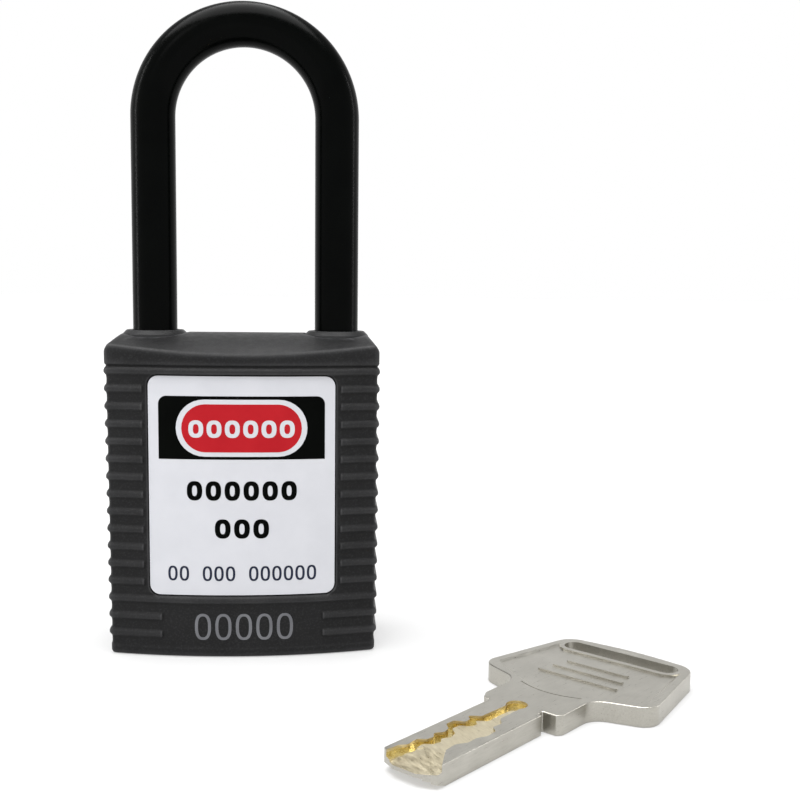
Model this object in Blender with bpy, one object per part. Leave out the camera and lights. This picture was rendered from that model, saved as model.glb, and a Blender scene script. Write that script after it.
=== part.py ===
"""Lockout padlock with its key: moulded body, ball-locked shackle, wafer cylinder and track key.

Metres, +Z up.  The lock stands on its underside at z = 0 and the key lies on the same surface.
The origin is on that surface, under the middle of the box that holds the lock and the key.
Inside the lock everything is placed from LOCK_AT, the middle of the lock's underside, with
the shackle's heel leg on the +X side and its toe leg on the -X side.
"""
import math

import bmesh
import bpy
from mathutils import Matrix, Vector

MM = 0.001
GAP = 0.3 * MM                      # running gap between neighbouring pieces

# Where the lock and the key stand
LOCK_AT = Vector((-19.90 * MM, 20.71 * MM, 0.0))
KEY_AT = LOCK_AT + Vector((19.8 * MM, -49.4 * MM, 0.0))
KEY_TURN = math.radians(45.0)       # from +X towards +Y

# Moulded body: outer envelope
HALF_W_TOP, HALF_W_FOOT = 19.02 * MM, 18.72 * MM
HALF_D_TOP, HALF_D_FOOT = 9.90 * MM, 9.70 * MM
BODY_H = 44.9 * MM                  # crest of the domed top
BULGE = 2.5 * MM                    # front and back are curved: deeper in the middle
CORNER_R = 1.0 * MM
BAND_Z, BAND_INSET = 41.4 * MM, 0.0         # plain band above the ribs
FOOT_Z, FOOT_BAND_Z = 0.5 * MM, 1.1 * MM    # foot's chamfer, and the plain band over it
FOOT_INSET, FOOT_BAND_INSET = 0.5 * MM, 0.05 * MM
LOW_FACE_Z = 1.7 * MM                       # where the ribbed zone's ground ends
DOME_R = 18.7 * MM
SHOULDER_X, SHOULDER_DROP = 17.1 * MM, 1.146   # where the shoulder chamfer starts, and its slope
COLLAR_R, COLLAR_Z0, COLLAR_TOP, COLLAR_LIP = 4.6 * MM, 40.0 * MM, 45.2 * MM, 0.55 * MM
BEYOND = 5 * MM                     # how far a cut runs on past the face that it opens

# Grip ribs
RIB_TOP, RIB_PITCH, RIB_COUNT = 40.42 * MM, 2.44 * MM, 16
RIB_PROUD, RIB_CREST, RIB_H = 0.30 * MM, 0.55 * MM, 0.85 * MM
FULL_RIBS = (0, 13)                 # these run right across the front and back
SIDE_RIB_X, LOW_RIB_X = 13.5 * MM, 11.1 * MM
RIB_END = 0.35 * MM

# Label and its recess
LABEL_W, LABEL_Z0, LABEL_Z1, LABEL_T = 25.5 * MM, 8.83 * MM, 39.25 * MM, 0.2 * MM
LABEL_SUNK = 0.05 * MM              # below the ground between the ribs
RECESS_DEPTH, RECESS_MARGIN = 0.55 * MM, 0.18 * MM

# Shackle
LEG_X, LEG_R = 12.9 * MM, 3.1 * MM
ARCH_Z = 74.99 * MM
TOE_Z, HEEL_Z = 33.2 * MM, 17.0 * MM
NECK_R, NECK_Z0, NECK_Z1 = 2.2 * MM, 18.3 * MM, 33.6 * MM
NECK_SLOPE = 0.5 * MM               # height of the neck's upper shoulder
LEG_TIP = 0.6 * MM                  # chamfer on both leg ends
LIFT = 12.5 * MM

# Locking balls and cam
BALL_R, BALL_Z, BALL_TRAVEL = 2.5 * MM, 37.2 * MM, 3.0 * MM
CAM_R, CAM_Z0, CAM_Z1 = 5.5 * MM, 35.3 * MM, 39.1 * MM
CAM_GAP = 0.35 * MM
BALL_X = CAM_R + CAM_GAP + BALL_R
RAMP_SHARE = 0.55                   # part of the lift over which the ball's notch runs
CAM_DROP = math.radians(28.0)       # the steep side of each cam lobe
SHAFT_R, SHAFT_Z0 = 2.2 * MM, 29.3 * MM
PIVOT_R, PIVOT_Z1 = 1.2 * MM, 41.2 * MM
TONGUE = (5.2 * MM, 1.3 * MM, 27.3 * MM)       # length, thickness, lower end

# Ball cage
CAGE_R, CAGE_BORE = 6.8 * MM, 5.9 * MM
CAGE_Z0, CAGE_ROOF, CAGE_Z1 = 25.3 * MM, 39.6 * MM, 41.6 * MM
CAGE_CHAMFER = 0.4 * MM

# Lock cylinder
HOUSING_BORE, HOUSING_Z0, HOUSING_Z1 = 5.5 * MM, 2.3 * MM, 25.0 * MM
PLUG_R, PLUG_Z0, PLUG_Z1 = 5.2 * MM, 0.3 * MM, 24.7 * MM
FLANGE_R, FLANGE_Z1 = 5.9 * MM, 2.0 * MM
BOSS_R, BOSS_Z1 = 3.2 * MM, 29.0 * MM
GROOVE_R, GROOVE_Z0, GROOVE_Z1 = 2.6 * MM, 25.0 * MM, 26.4 * MM
CLIP_R, CLIP_BORE, CLIP_Z0, CLIP_Z1 = 5.6 * MM, 2.9 * MM, 25.3 * MM, 26.1 * MM
FLANGE_CHAMFER = 0.3 * MM
KEYWAY_W, KEYWAY_T, KEYWAY_Z1 = 7.9 * MM, 2.9 * MM, 21.5 * MM

WAFER_COUNT, WAFER_Z0, WAFER_PITCH, WAFER_T = 6, 4.6 * MM, 2.6 * MM, 0.8 * MM
WAFER_W, WAFER_D = 9.1 * MM, 4.6 * MM
WAFER_HOLE_W, WAFER_HOLE_D = 7.6 * MM, 3.2 * MM
EAR_X, EAR_W, EAR_D = -2.6 * MM, 1.1 * MM, 1.0 * MM   # the lug that a wafer spring pushes on
WAFER_CORNER, WAFER_GAP = 0.5 * MM, 0.25 * MM
WAFER_GROOVE_X, WAFER_GROOVE_Y = 6.1 * MM, 1.6 * MM    # half sizes of the housing's grooves
WAFER_SPRING_R, WAFER_SPRING_WIRE, WAFER_SPRING_LEN = 0.36 * MM, 0.09 * MM, 3.0 * MM

# Underside
COVER_W, COVER_D, COVER_R, COVER_T = 16.0 * MM, 5.2 * MM, 7.9 * MM, 2.0 * MM
COVER_CORNER = 1.6 * MM
COVER_BORE = 6.2 * MM
SCREW_HEAD_R, SCREW_R, SCREW_Z1 = 1.6 * MM, 0.8 * MM, 6.8 * MM
SCREW_HEAD_Z0, SCREW_HEAD_Z1 = 0.3 * MM, 1.2 * MM
CROSS_ARM, CROSS_HALF, CROSS_DEPTH = 0.95 * MM, 0.18 * MM, 0.5 * MM

# Stop pin and shackle spring
PIN_R, PIN_Z, PIN_X0, PIN_X1 = 1.0 * MM, 32.2 * MM, 7.5 * MM, 10.4 * MM
PIN_HOLE_X0, PIN_HOLE_GAP, PIN_TIP = 6.0 * MM, 0.2 * MM, 0.2 * MM
HEEL_BORE_Z0 = 9.0 * MM
SPRING_Z0, SPRING_Z1 = 9.3 * MM, 16.7 * MM
SPRING_R, SPRING_WIRE, SPRING_TURNS = 2.4 * MM, 0.3 * MM, 8

# Key: along its own +X from the tip, lying flat
KEY_T = 2.5 * MM
BLADE_L, BLADE_HALF = 20.0, 3.75    # in mm, as are the outlines of the key
TRACK_DEPTH = 0.6 * MM
TRACK_END_X, TRACK_END_Y, TRACK_END_R = 20.6, 0.22, 1.30    # the track's round end, in mm
SLOT_X, SLOT_HALF_L, SLOT_HALF_W = 44.0 * MM, 8.4 * MM, 1.5 * MM


# ---------------------------------------------------------------- scene, materials, placing

def clear_scene():
    for item in list(bpy.data.objects):
        bpy.data.objects.remove(item, do_unlink=True)


def material(name, color, roughness, metallic=0.0):
    mat = bpy.data.materials.new(name)
    mat.use_nodes = True
    shader = mat.node_tree.nodes["Principled BSDF"]
    shader.inputs["Base Color"].default_value = (*color, 1.0)
    shader.inputs["Roughness"].default_value = roughness
    shader.inputs["Metallic"].default_value = metallic
    mat.diffuse_color = (*color, 1.0)
    return mat


def empty(name, parent=None, at=(0, 0, 0)):
    item = bpy.data.objects.new(name, None)
    item.empty_display_size = 5 * MM
    item.location = at
    item.parent = parent
    bpy.context.scene.collection.objects.link(item)
    return item


def add(name, bm, mat, parent=None, at=(0, 0, 0)):
    """Turn a bmesh into a named object with outward faces."""
    bmesh.ops.recalc_face_normals(bm, faces=bm.faces)
    mesh = bpy.data.meshes.new(name)
    bm.to_mesh(mesh)
    bm.free()
    mesh.shade_smooth()
    mesh.set_sharp_from_angle(angle=math.radians(35))
    if mat:
        mesh.materials.append(mat)
    item = bpy.data.objects.new(name, mesh)
    item.location = at
    item.parent = parent
    bpy.context.scene.collection.objects.link(item)
    return item


def boolean(item, guides, operation="DIFFERENCE"):
    """Cut, join or trim an object with guides that are themselves left out of the model.
    Each guide stands in the same local frame as the object."""
    group = bpy.data.collections.new("%s_%s_guides" % (item.name, operation.lower()))
    for guide in guides:
        guide.parent = item.parent
        guide.hide_render = True
        guide.display_type = "WIRE"
        group.objects.link(guide)
    mod = item.modifiers.new(group.name, "BOOLEAN")
    mod.operation = operation
    mod.solver = "EXACT"
    mod.operand_type = "COLLECTION"
    mod.collection = group


def guide(name, bm, x=0.0):
    """A cutter or former that a boolean uses."""
    return add(name, bm, None, at=(x, 0, 0))


# ---------------------------------------------------------------- shapes

def loft(sections):
    """A solid through closed sections, each a list of as many points, with both ends capped."""
    bm = bmesh.new()
    rings = [[bm.verts.new(point) for point in section] for section in sections]
    count = len(rings[0])
    for below, above in zip(rings, rings[1:]):
        for k in range(count):
            n = (k + 1) % count
            bm.faces.new((below[k], below[n], above[n], above[k]))
    bm.faces.new(rings[0][::-1])
    bm.faces.new(rings[-1])
    return bm


def prism(outline, z0, z1):
    """A closed outline in XY pulled up from z0 to z1."""
    return loft([[(x, y, z) for x, y in outline] for z in (z0, z1)])


def turned(profile, segments=32):
    """A solid turned about Z.  A profile that starts and ends on the axis is solid, and any
    other is closed into a ring."""
    bm = bmesh.new()
    rings = []
    for r, z in profile:
        if r == 0.0:
            rings.append([bm.verts.new((0, 0, z))])
            continue
        angles = (2 * math.pi * k / segments for k in range(segments))
        rings.append([bm.verts.new((r * math.cos(a), r * math.sin(a), z)) for a in angles])
    solid = profile[0][0] == 0.0
    pairs = list(zip(rings, rings[1:])) + ([] if solid else [(rings[-1], rings[0])])
    for below, above in pairs:
        for k in range(segments):
            n = (k + 1) % segments
            corners = [below[k % len(below)], below[n % len(below)],
                       above[n % len(above)], above[k % len(above)]]
            bm.faces.new(list(dict.fromkeys(corners)))
    return bm


def cylinder(r, z0, z1, segments=32):
    return turned([(0.0, z0), (r, z0), (r, z1), (0.0, z1)], segments)


def tube(r_in, r_out, z0, z1, segments=32):
    return turned([(r_in, z0), (r_out, z0), (r_out, z1), (r_in, z1)], segments)


def block(x0, x1, y0, y1, z0, z1):
    return prism([(x0, y0), (x1, y0), (x1, y1), (x0, y1)], z0, z1)


def lay_along_x(bm):
    """Turn a shape built about Z so that it lies about X."""
    bmesh.ops.rotate(bm, verts=bm.verts, cent=(0, 0, 0), matrix=Matrix.Rotation(math.pi / 2, 3, "Y"))
    return bm


def shift(bm, x=0.0, y=0.0, z=0.0):
    bmesh.ops.translate(bm, verts=bm.verts, vec=(x, y, z))
    return bm


def sweep(path, sides):
    """A round bar along a path of (point, tangent, radius) that stays in the XZ plane."""
    across = Vector((0, 1, 0))
    angles = [2 * math.pi * k / sides for k in range(sides)]
    sections = []
    for point, tangent, radius in path:
        up = tangent.cross(across)
        sections.append([point + (across * math.cos(a) + up * math.sin(a)) * radius
                         for a in angles])
    return loft(sections)


def helix(radius, wire, z0, z1, turns, steps, sides):
    """A round-wire coil about Z between z0 and z1, measured over the wire."""
    low, high = z0 + wire, z1 - wire
    path = []
    for k in range(turns * steps + 1):
        a = 2 * math.pi * k / steps
        z = low + (high - low) * k / (turns * steps)
        rise = (high - low) / (turns * 2 * math.pi)
        tangent = Vector((-radius * math.sin(a), radius * math.cos(a), rise)).normalized()
        path.append((Vector((radius * math.cos(a), radius * math.sin(a), z)), tangent, wire))
    return path


def coil(path, sides):
    """Sweep a coil with rings that stay square to the wire."""
    angles = [2 * math.pi * k / sides for k in range(sides)]
    sections = []
    for point, tangent, wire in path:
        outward = Vector((point.x, point.y, 0)).normalized()
        up = tangent.cross(outward)
        sections.append([point + (outward * math.cos(a) + up * math.sin(a)) * wire
                         for a in angles])
    return loft(sections)


def round_corners(corners, steps=4):
    """An outline whose corners (x, y, radius) are replaced by tangent arcs."""
    points = []
    count = len(corners)
    for i, (x, y, radius) in enumerate(corners):
        here = Vector((x, y))
        if radius == 0.0:
            points.append((x, y))
            continue
        back = (Vector(corners[i - 1][:2]) - here).normalized()
        ahead = (Vector(corners[(i + 1) % count][:2]) - here).normalized()
        half = math.acos(max(-1.0, min(1.0, back.dot(ahead)))) / 2
        centre = here + (back + ahead).normalized() * (radius / math.sin(half))
        start = here + back * (radius / math.tan(half)) - centre
        swing = math.pi - 2 * half
        turn = 1.0 if back.x * ahead.y - back.y * ahead.x < 0 else -1.0
        for k in range(steps + 1):
            p = centre + Matrix.Rotation(turn * swing * k / steps, 2) @ start
            points.append((p.x, p.y))
    return points


# ---------------------------------------------------------------- moulded body

def half_width(z):
    return HALF_W_FOOT + (HALF_W_TOP - HALF_W_FOOT) * z / BODY_H


def half_depth(x, z):
    middle = HALF_D_FOOT + (HALF_D_TOP - HALF_D_FOOT) * z / BODY_H
    return middle - BULGE * (x / half_width(z)) ** 2


def outline_columns():
    """x of the columns that the front face needs: rib ends, recess edges and the curve between."""
    edge = LABEL_W / 2 + RECESS_MARGIN
    half_way = LOW_RIB_X / 2
    right = [half_way, LOW_RIB_X - RIB_END, LOW_RIB_X, edge, edge + 0.2 * MM, SIDE_RIB_X]
    return [-x for x in reversed(right)] + [0.0] + right


def surface_offset(x, z, kind, rib):
    """How far the surface lies inside the envelope: ribs, label recess, plain zones."""
    in_label = abs(x) < LABEL_W / 2 + RECESS_MARGIN + 0.02 * MM
    if kind == "recess" and in_label:
        return RIB_PROUD + RECESS_DEPTH
    if kind == "rib_crest":
        inner = 0.0 if rib in FULL_RIBS else (SIDE_RIB_X if rib < FULL_RIBS[1] else LOW_RIB_X)
        if abs(x) >= inner - 0.01 * MM:
            return 0.0
        return RIB_PROUD + (RECESS_DEPTH if in_label and rib < FULL_RIBS[1] else 0.0)
    return RIB_PROUD


def body_rows():
    """Heights from top to bottom with the kind of surface found there."""
    rows = [(BODY_H + BEYOND, "plain", None, BAND_INSET), (BAND_Z, "plain", None, BAND_INSET)]
    for rib in range(RIB_COUNT):
        z = RIB_TOP - RIB_PITCH * rib
        side = 0 < rib < FULL_RIBS[1]
        foot = "recess" if side else "base"
        rows += [(z, foot, rib, None), (z - RIB_CREST, "rib_crest", rib, None),
                 (z - RIB_H, foot, rib, None)]
        if rib == 0:
            rows.append((LABEL_Z1 + RECESS_MARGIN, "recess", rib, None))
        if rib == FULL_RIBS[1] - 1:
            rows.append((LABEL_Z0 - RECESS_MARGIN, "recess", rib, None))
    rows += [(LOW_FACE_Z, "base", None, None), (FOOT_BAND_Z, "plain", None, FOOT_BAND_INSET),
             (FOOT_Z, "plain", None, FOOT_BAND_INSET), (0.0, "plain", None, FOOT_INSET)]
    return rows


def body_outline(z, kind, rib, plain):
    """The body's outline at one height, anticlockwise from the front left."""
    w = half_width(z)
    front = []
    for x in outline_columns():
        inset = plain if kind == "plain" else surface_offset(x, z, kind, rib)
        front.append((x, -(half_depth(x, z) - inset)))
    side_inset = plain if kind == "plain" else surface_offset(w, z, kind, rib)
    edge_x = w - side_inset
    edge_y = half_depth(w, z) - side_inset
    corner = []
    for k in range(3):
        a = math.radians(15 + 30 * k)
        corner.append((edge_x - CORNER_R * (1 - math.sin(a)),
                       -(edge_y - CORNER_R * (1 - math.cos(a)))))
    front_right = front + corner
    back = [(x, -y) for x, y in reversed(front_right)]
    left = [(-x, -y) for x, y in corner]
    left_front = [(-x, y) for x, y in reversed(corner)]
    return front_right + back + left + left_front


def body_blank():
    sections = []
    for z, kind, rib, plain in body_rows():
        sections.append([(x, y, z) for x, y in body_outline(z, kind, rib, plain)])
    bm = loft(sections)
    bmesh.ops.triangulate(bm, faces=bm.faces)
    return bm


def dome_guide():
    """Everything below the domed top, as a slab that runs along X."""
    reach = DOME_R * 0.75
    arc = []
    for k in range(17):
        y = -reach + 2 * reach * k / 16
        arc.append((BODY_H - DOME_R + math.sqrt(DOME_R ** 2 - y ** 2), y))
    far = HALF_W_TOP + BEYOND
    bm = prism([(-BEYOND, -reach)] + arc + [(-BEYOND, reach)], -far, far)
    for vert in bm.verts:
        vert.co = Vector((vert.co.z, vert.co.y, vert.co.x))
    return bm


def shoulder_guide():
    """Everything between the two shoulder chamfers, as a slab that runs along Y."""
    far, top = HALF_W_TOP + BEYOND, BODY_H + BEYOND
    low = BODY_H - SHOULDER_DROP * (far - SHOULDER_X)
    inner = SHOULDER_X - (top - BODY_H) / SHOULDER_DROP
    outline = [(-far, -BEYOND), (far, -BEYOND), (far, low), (inner, top), (-inner, top), (-far, low)]
    deep = HALF_D_TOP + BEYOND
    bm = prism(outline, -deep, deep)
    for vert in bm.verts:
        vert.co = Vector((vert.co.x, vert.co.z, vert.co.y))
    return bm


def cover_outline(grow=0.0):
    """A bar with rounded ends joined to a disc round the cylinder."""
    w, d, r, c = COVER_W + grow, COVER_D + grow, COVER_R + grow, COVER_CORNER + grow
    start = math.asin(d / r)
    quarter = []
    for k in range(5):
        a = math.pi / 2 * k / 4
        quarter.append((w - c + c * math.cos(a), d - c + c * math.sin(a)))
    for k in range(9):
        a = start + (math.pi / 2 - start) * k / 8
        quarter.append((r * math.cos(a), r * math.sin(a)))
    left = [(-x, y) for x, y in reversed(quarter[:-1])]
    top = quarter + left
    return top + [(-x, -y) for x, y in top]


def ball_channel(name, reach):
    return guide(name, shift(lay_along_x(cylinder(BALL_R + GAP, -reach, reach, 24)), z=BALL_Z))


def collar():
    return turned([(0.0, COLLAR_Z0), (COLLAR_R, COLLAR_Z0), (COLLAR_R, COLLAR_TOP - COLLAR_LIP),
                   (COLLAR_R - COLLAR_LIP, COLLAR_TOP), (0.0, COLLAR_TOP)])


def body_shell(parent, mat):
    shell = add("body_shell", body_blank(), mat, parent)
    boolean(shell, [guide("dome_guide", dome_guide())], "INTERSECT")
    boolean(shell, [guide("shoulder_guide", shoulder_guide())], "INTERSECT")
    boolean(shell, [guide("heel_collar_guide", collar(), LEG_X),
                    guide("toe_collar_guide", collar(), -LEG_X)], "UNION")
    above = BODY_H + BEYOND
    pin_hole = lay_along_x(cylinder(PIN_R + PIN_HOLE_GAP, PIN_HOLE_X0, PIN_X1 + GAP, 20))
    screw_hole = SCREW_R + GAP, 0.0, SCREW_Z1 + GAP, 16
    boolean(shell, [
        guide("heel_bore_cut", cylinder(LEG_R + GAP, HEEL_BORE_Z0, above), LEG_X),
        guide("toe_bore_cut", cylinder(LEG_R + GAP, TOE_Z - GAP, above), -LEG_X),
        guide("pocket_cut", cylinder(CAGE_R + GAP, -BEYOND, CAGE_Z1 + GAP)),
        ball_channel("shell_channel_cut", BALL_X + BALL_R),
        guide("cover_recess_cut", prism(cover_outline(GAP), -BEYOND, COVER_T + GAP)),
        guide("pin_hole_cut", shift(pin_hole, z=PIN_Z)),
        guide("heel_screw_cut", cylinder(*screw_hole), LEG_X),
        guide("toe_screw_cut", cylinder(*screw_hole), -LEG_X),
    ])
    return shell


def label(name, parent, mat, face):
    """A thin curved plate that follows the body's face; face is -1 in front, +1 at the back."""
    outer = RIB_PROUD + LABEL_SUNK
    inner = outer + LABEL_T
    columns = [-LABEL_W / 2 + LABEL_W * k / 12 for k in range(13)]
    sections = []
    for z in (LABEL_Z0, LABEL_Z1):
        skin = [(x, face * (half_depth(x, z) - outer), z) for x in columns]
        lining = [(x, face * (half_depth(x, z) - inner), z) for x in reversed(columns)]
        sections.append(skin + lining)
    return add(name, loft(sections), mat, parent)


# ---------------------------------------------------------------- shackle and its hardware

def shackle_path():
    """From the heel's end up, round the arch and down to the toe's end."""
    path = []
    up, down = Vector((0, 0, 1)), Vector((0, 0, -1))
    heel = [(HEEL_Z, LEG_R - LEG_TIP), (HEEL_Z + LEG_TIP, LEG_R), (NECK_Z0, LEG_R),
            (NECK_Z0 + 0.1 * MM, NECK_R), (NECK_Z1 - NECK_SLOPE, NECK_R), (NECK_Z1, LEG_R),
            (ARCH_Z, LEG_R)]
    path += [(Vector((LEG_X, 0, z)), up, r) for z, r in heel]
    steps = 22
    for k in range(1, steps):
        a = math.pi * k / steps
        point = Vector((LEG_X * math.cos(a), 0, ARCH_Z + LEG_X * math.sin(a)))
        path.append((point, Vector((-math.sin(a), 0, math.cos(a))), LEG_R))
    toe = [(ARCH_Z, LEG_R), (TOE_Z + LEG_TIP, LEG_R), (TOE_Z, LEG_R - LEG_TIP)]
    path += [(Vector((-LEG_X, 0, z)), down, r) for z, r in toe]
    return path


def ball_ramp(name, side):
    """The space a ball needs in its leg while the shackle rises and the ball draws back."""
    drop = LIFT * RAMP_SHARE
    draw = BALL_TRAVEL * RAMP_SHARE
    start = Vector((side * BALL_X, 0, BALL_Z))
    end = start - Vector((side * draw, 0, drop))
    along = (end - start).normalized()
    r = BALL_R + GAP
    path = []
    for k in range(5):
        a = math.radians(8 + 82 * k / 4)
        path.append((start - along * r * math.cos(a), along, r * math.sin(a)))
    for k in range(1, 5):
        a = math.radians(90 - 82 * k / 4)
        path.append((end + along * r * math.cos(a), along, r * math.sin(a)))
    return guide(name, sweep(path, 24))


def shackle(parent, mat):
    bow = add("shackle", sweep(shackle_path(), 24), mat, parent)
    boolean(bow, [ball_ramp("heel_ramp_cut", 1.0), ball_ramp("toe_ramp_cut", -1.0)])
    return bow


def ball(name, parent, mat, x):
    rings = 10
    profile = [(0.0, -BALL_R)]
    for k in range(1, rings):
        a = math.pi * k / rings
        profile.append((BALL_R * math.sin(a), -BALL_R * math.cos(a)))
    profile.append((0.0, BALL_R))
    return add(name, turned(profile, 18), mat, parent, at=(x, 0, BALL_Z))


def stop_pin(parent, mat):
    end_r = PIN_R - PIN_TIP
    profile = [(0.0, PIN_X0), (end_r, PIN_X0), (PIN_R, PIN_X0 + PIN_TIP),
               (PIN_R, PIN_X1 - PIN_TIP), (end_r, PIN_X1), (0.0, PIN_X1)]
    return add("heel_stop_pin", shift(lay_along_x(turned(profile, 16)), z=PIN_Z), mat, parent)


def shackle_spring(parent, mat):
    path = helix(SPRING_R, SPRING_WIRE, SPRING_Z0, SPRING_Z1, SPRING_TURNS, 12, 6)
    return add("shackle_spring", coil(path, 6), mat, parent, at=(LEG_X, 0, 0))


# ---------------------------------------------------------------- cylinder, cam and cage

def cam_radius(angle):
    """Two equal lobes: each falls slowly over a quarter turn clockwise and steeply the other way."""
    a = angle % math.pi
    low = CAM_R - BALL_TRAVEL
    if a > math.pi / 2:
        return low + BALL_TRAVEL * (a - math.pi / 2) / (math.pi / 2)
    if a < CAM_DROP:
        blend = (1 + math.cos(math.pi * a / CAM_DROP)) / 2
        return low + BALL_TRAVEL * blend
    return low


def tail_cam(parent, mat):
    steps = 72
    outline = []
    for k in range(steps):
        a = 2 * math.pi * k / steps
        r = cam_radius(a)
        outline.append((r * math.cos(a), r * math.sin(a)))
    cam = add("tail_cam", prism(outline, CAM_Z0, CAM_Z1), mat, parent)
    length, thickness, z0 = TONGUE
    tongue = block(-length / 2, length / 2, -thickness / 2, thickness / 2, z0, SHAFT_Z0 + 0.5 * MM)
    boolean(cam, [
        guide("cam_shaft_guide", cylinder(SHAFT_R, SHAFT_Z0, CAM_Z0 + 0.5 * MM, 24)),
        guide("cam_pivot_guide", cylinder(PIVOT_R, CAM_Z1 - 0.5 * MM, PIVOT_Z1, 20)),
        guide("cam_tongue_guide", tongue),
    ], "UNION")
    return cam


def ball_cage(parent, mat):
    bore = PIVOT_R + GAP
    profile = [(CAGE_BORE, CAGE_Z0), (CAGE_R, CAGE_Z0), (CAGE_R, CAGE_Z1 - CAGE_CHAMFER),
               (CAGE_R - CAGE_CHAMFER, CAGE_Z1), (bore, CAGE_Z1), (bore, CAGE_ROOF),
               (CAGE_BORE, CAGE_ROOF)]
    cage = add("ball_cage", turned(profile, 40), mat, parent)
    boolean(cage, [ball_channel("cage_channel_cut", CAGE_R + MM)])
    return cage


def cylinder_housing(parent, mat):
    housing = add("cylinder_housing", tube(HOUSING_BORE, CAGE_R, HOUSING_Z0, HOUSING_Z1, 40), mat,
                  parent)
    grooves = block(-WAFER_GROOVE_X, WAFER_GROOVE_X, -WAFER_GROOVE_Y, WAFER_GROOVE_Y,
                    HOUSING_Z0 + MM, WAFER_Z0 + WAFER_PITCH * WAFER_COUNT)
    boolean(housing, [guide("wafer_groove_cut", grooves)])
    return housing


def wafer_heights():
    return [WAFER_Z0 + WAFER_PITCH * k for k in range(WAFER_COUNT)]


def cylinder_plug(parent, mat):
    profile = [(0.0, PLUG_Z0), (FLANGE_R - FLANGE_CHAMFER, PLUG_Z0),
               (FLANGE_R, PLUG_Z0 + FLANGE_CHAMFER),
               (FLANGE_R, FLANGE_Z1), (PLUG_R, FLANGE_Z1), (PLUG_R, PLUG_Z1), (BOSS_R, PLUG_Z1),
               (BOSS_R, GROOVE_Z0), (GROOVE_R, GROOVE_Z0), (GROOVE_R, GROOVE_Z1),
               (BOSS_R, GROOVE_Z1), (BOSS_R, BOSS_Z1), (0.0, BOSS_Z1)]
    plug = add("cylinder_plug", turned(profile, 40), mat, parent)
    keyway = block(-KEYWAY_W / 2, KEYWAY_W / 2, -KEYWAY_T / 2, KEYWAY_T / 2, -MM, KEYWAY_Z1)
    cuts = [guide("keyway_cut", keyway)]
    half_w, half_d = WAFER_W / 2 + 2 * MM, WAFER_D / 2 + WAFER_GAP
    ear_x1, ear_y = EAR_X + EAR_W, WAFER_D / 2 + EAR_D
    pocket = (EAR_X - WAFER_GAP, ear_x1 + WAFER_SPRING_LEN + 2 * WAFER_GAP, 0.0, ear_y + WAFER_GAP)
    for k, z in enumerate(wafer_heights(), 1):
        low, high = z - WAFER_GAP, z + WAFER_T + WAFER_GAP
        slot = block(-half_w, half_w, -half_d, half_d, low, high)
        cuts.append(guide("wafer_slot_cut_%d" % k, slot))
        cuts.append(guide("spring_pocket_cut_%d" % k, block(*pocket, low, high)))
    thickness, z0 = TONGUE[1:]
    slot = block(-PLUG_R, PLUG_R, -thickness / 2 - GAP, thickness / 2 + GAP, z0 - GAP,
                 BOSS_Z1 + BEYOND)
    cuts.append(guide("tongue_slot_cut", slot))
    boolean(plug, cuts)
    return plug


def wafer(name, parent, mat, z):
    w, d, c = WAFER_W / 2, WAFER_D / 2, WAFER_CORNER
    x0, x1, ear_y = EAR_X, EAR_X + EAR_W, WAFER_D / 2 + EAR_D
    outline = round_corners([(-w, -d, c), (w, -d, c), (w, d, c), (x1, d, 0.0), (x1, ear_y, 0.0),
                             (x0, ear_y, 0.0), (x0, d, 0.0), (-w, d, c)], 2)
    plate = add(name, prism(outline, z, z + WAFER_T), mat, parent)
    hole = block(-WAFER_HOLE_W / 2, WAFER_HOLE_W / 2, -WAFER_HOLE_D / 2, WAFER_HOLE_D / 2,
                 z - MM, z + WAFER_T + MM)
    boolean(plate, [guide(name + "_hole_cut", hole)])
    return plate


def wafer_spring(name, parent, mat, z):
    x0 = EAR_X + EAR_W + WAFER_GAP
    path = helix(WAFER_SPRING_R, WAFER_SPRING_WIRE, x0, x0 + WAFER_SPRING_LEN, 4, 7, 4)
    bm = lay_along_x(coil(path, 4))
    y = WAFER_D / 2 + EAR_D - WAFER_SPRING_R - WAFER_SPRING_WIRE
    return add(name, shift(bm, y=y, z=z + WAFER_T / 2), mat, parent)


def plug_clip(parent, mat):
    """An open ring that snaps into the boss's groove and rests over the housing."""
    opening = math.radians(62)
    steps = 28
    outer, inner = [], []
    for k in range(steps + 1):
        a = opening / 2 + (2 * math.pi - opening) * k / steps
        outer.append((CLIP_R * math.cos(a), CLIP_R * math.sin(a)))
        inner.append((CLIP_BORE * math.cos(a), CLIP_BORE * math.sin(a)))
    return add("plug_clip", prism(outer + inner[::-1], CLIP_Z0, CLIP_Z1), mat, parent)


# ---------------------------------------------------------------- underside

def bottom_cover(parent, mat):
    cover = add("bottom_cover", prism(cover_outline(), 0.0, COVER_T), mat, parent)
    seat, above = SCREW_HEAD_Z1 + GAP, COVER_T + BEYOND
    counterbore = [(0.0, -MM), (SCREW_HEAD_R + GAP, -MM), (SCREW_HEAD_R + GAP, seat),
                   (SCREW_R + GAP, seat), (SCREW_R + GAP, above), (0.0, above)]
    boolean(cover, [
        guide("cover_bore_cut", cylinder(COVER_BORE, -MM, above, 40)),
        guide("heel_counterbore_cut", turned(counterbore, 20), LEG_X),
        guide("toe_counterbore_cut", turned(counterbore, 20), -LEG_X),
    ])
    return cover


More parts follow.
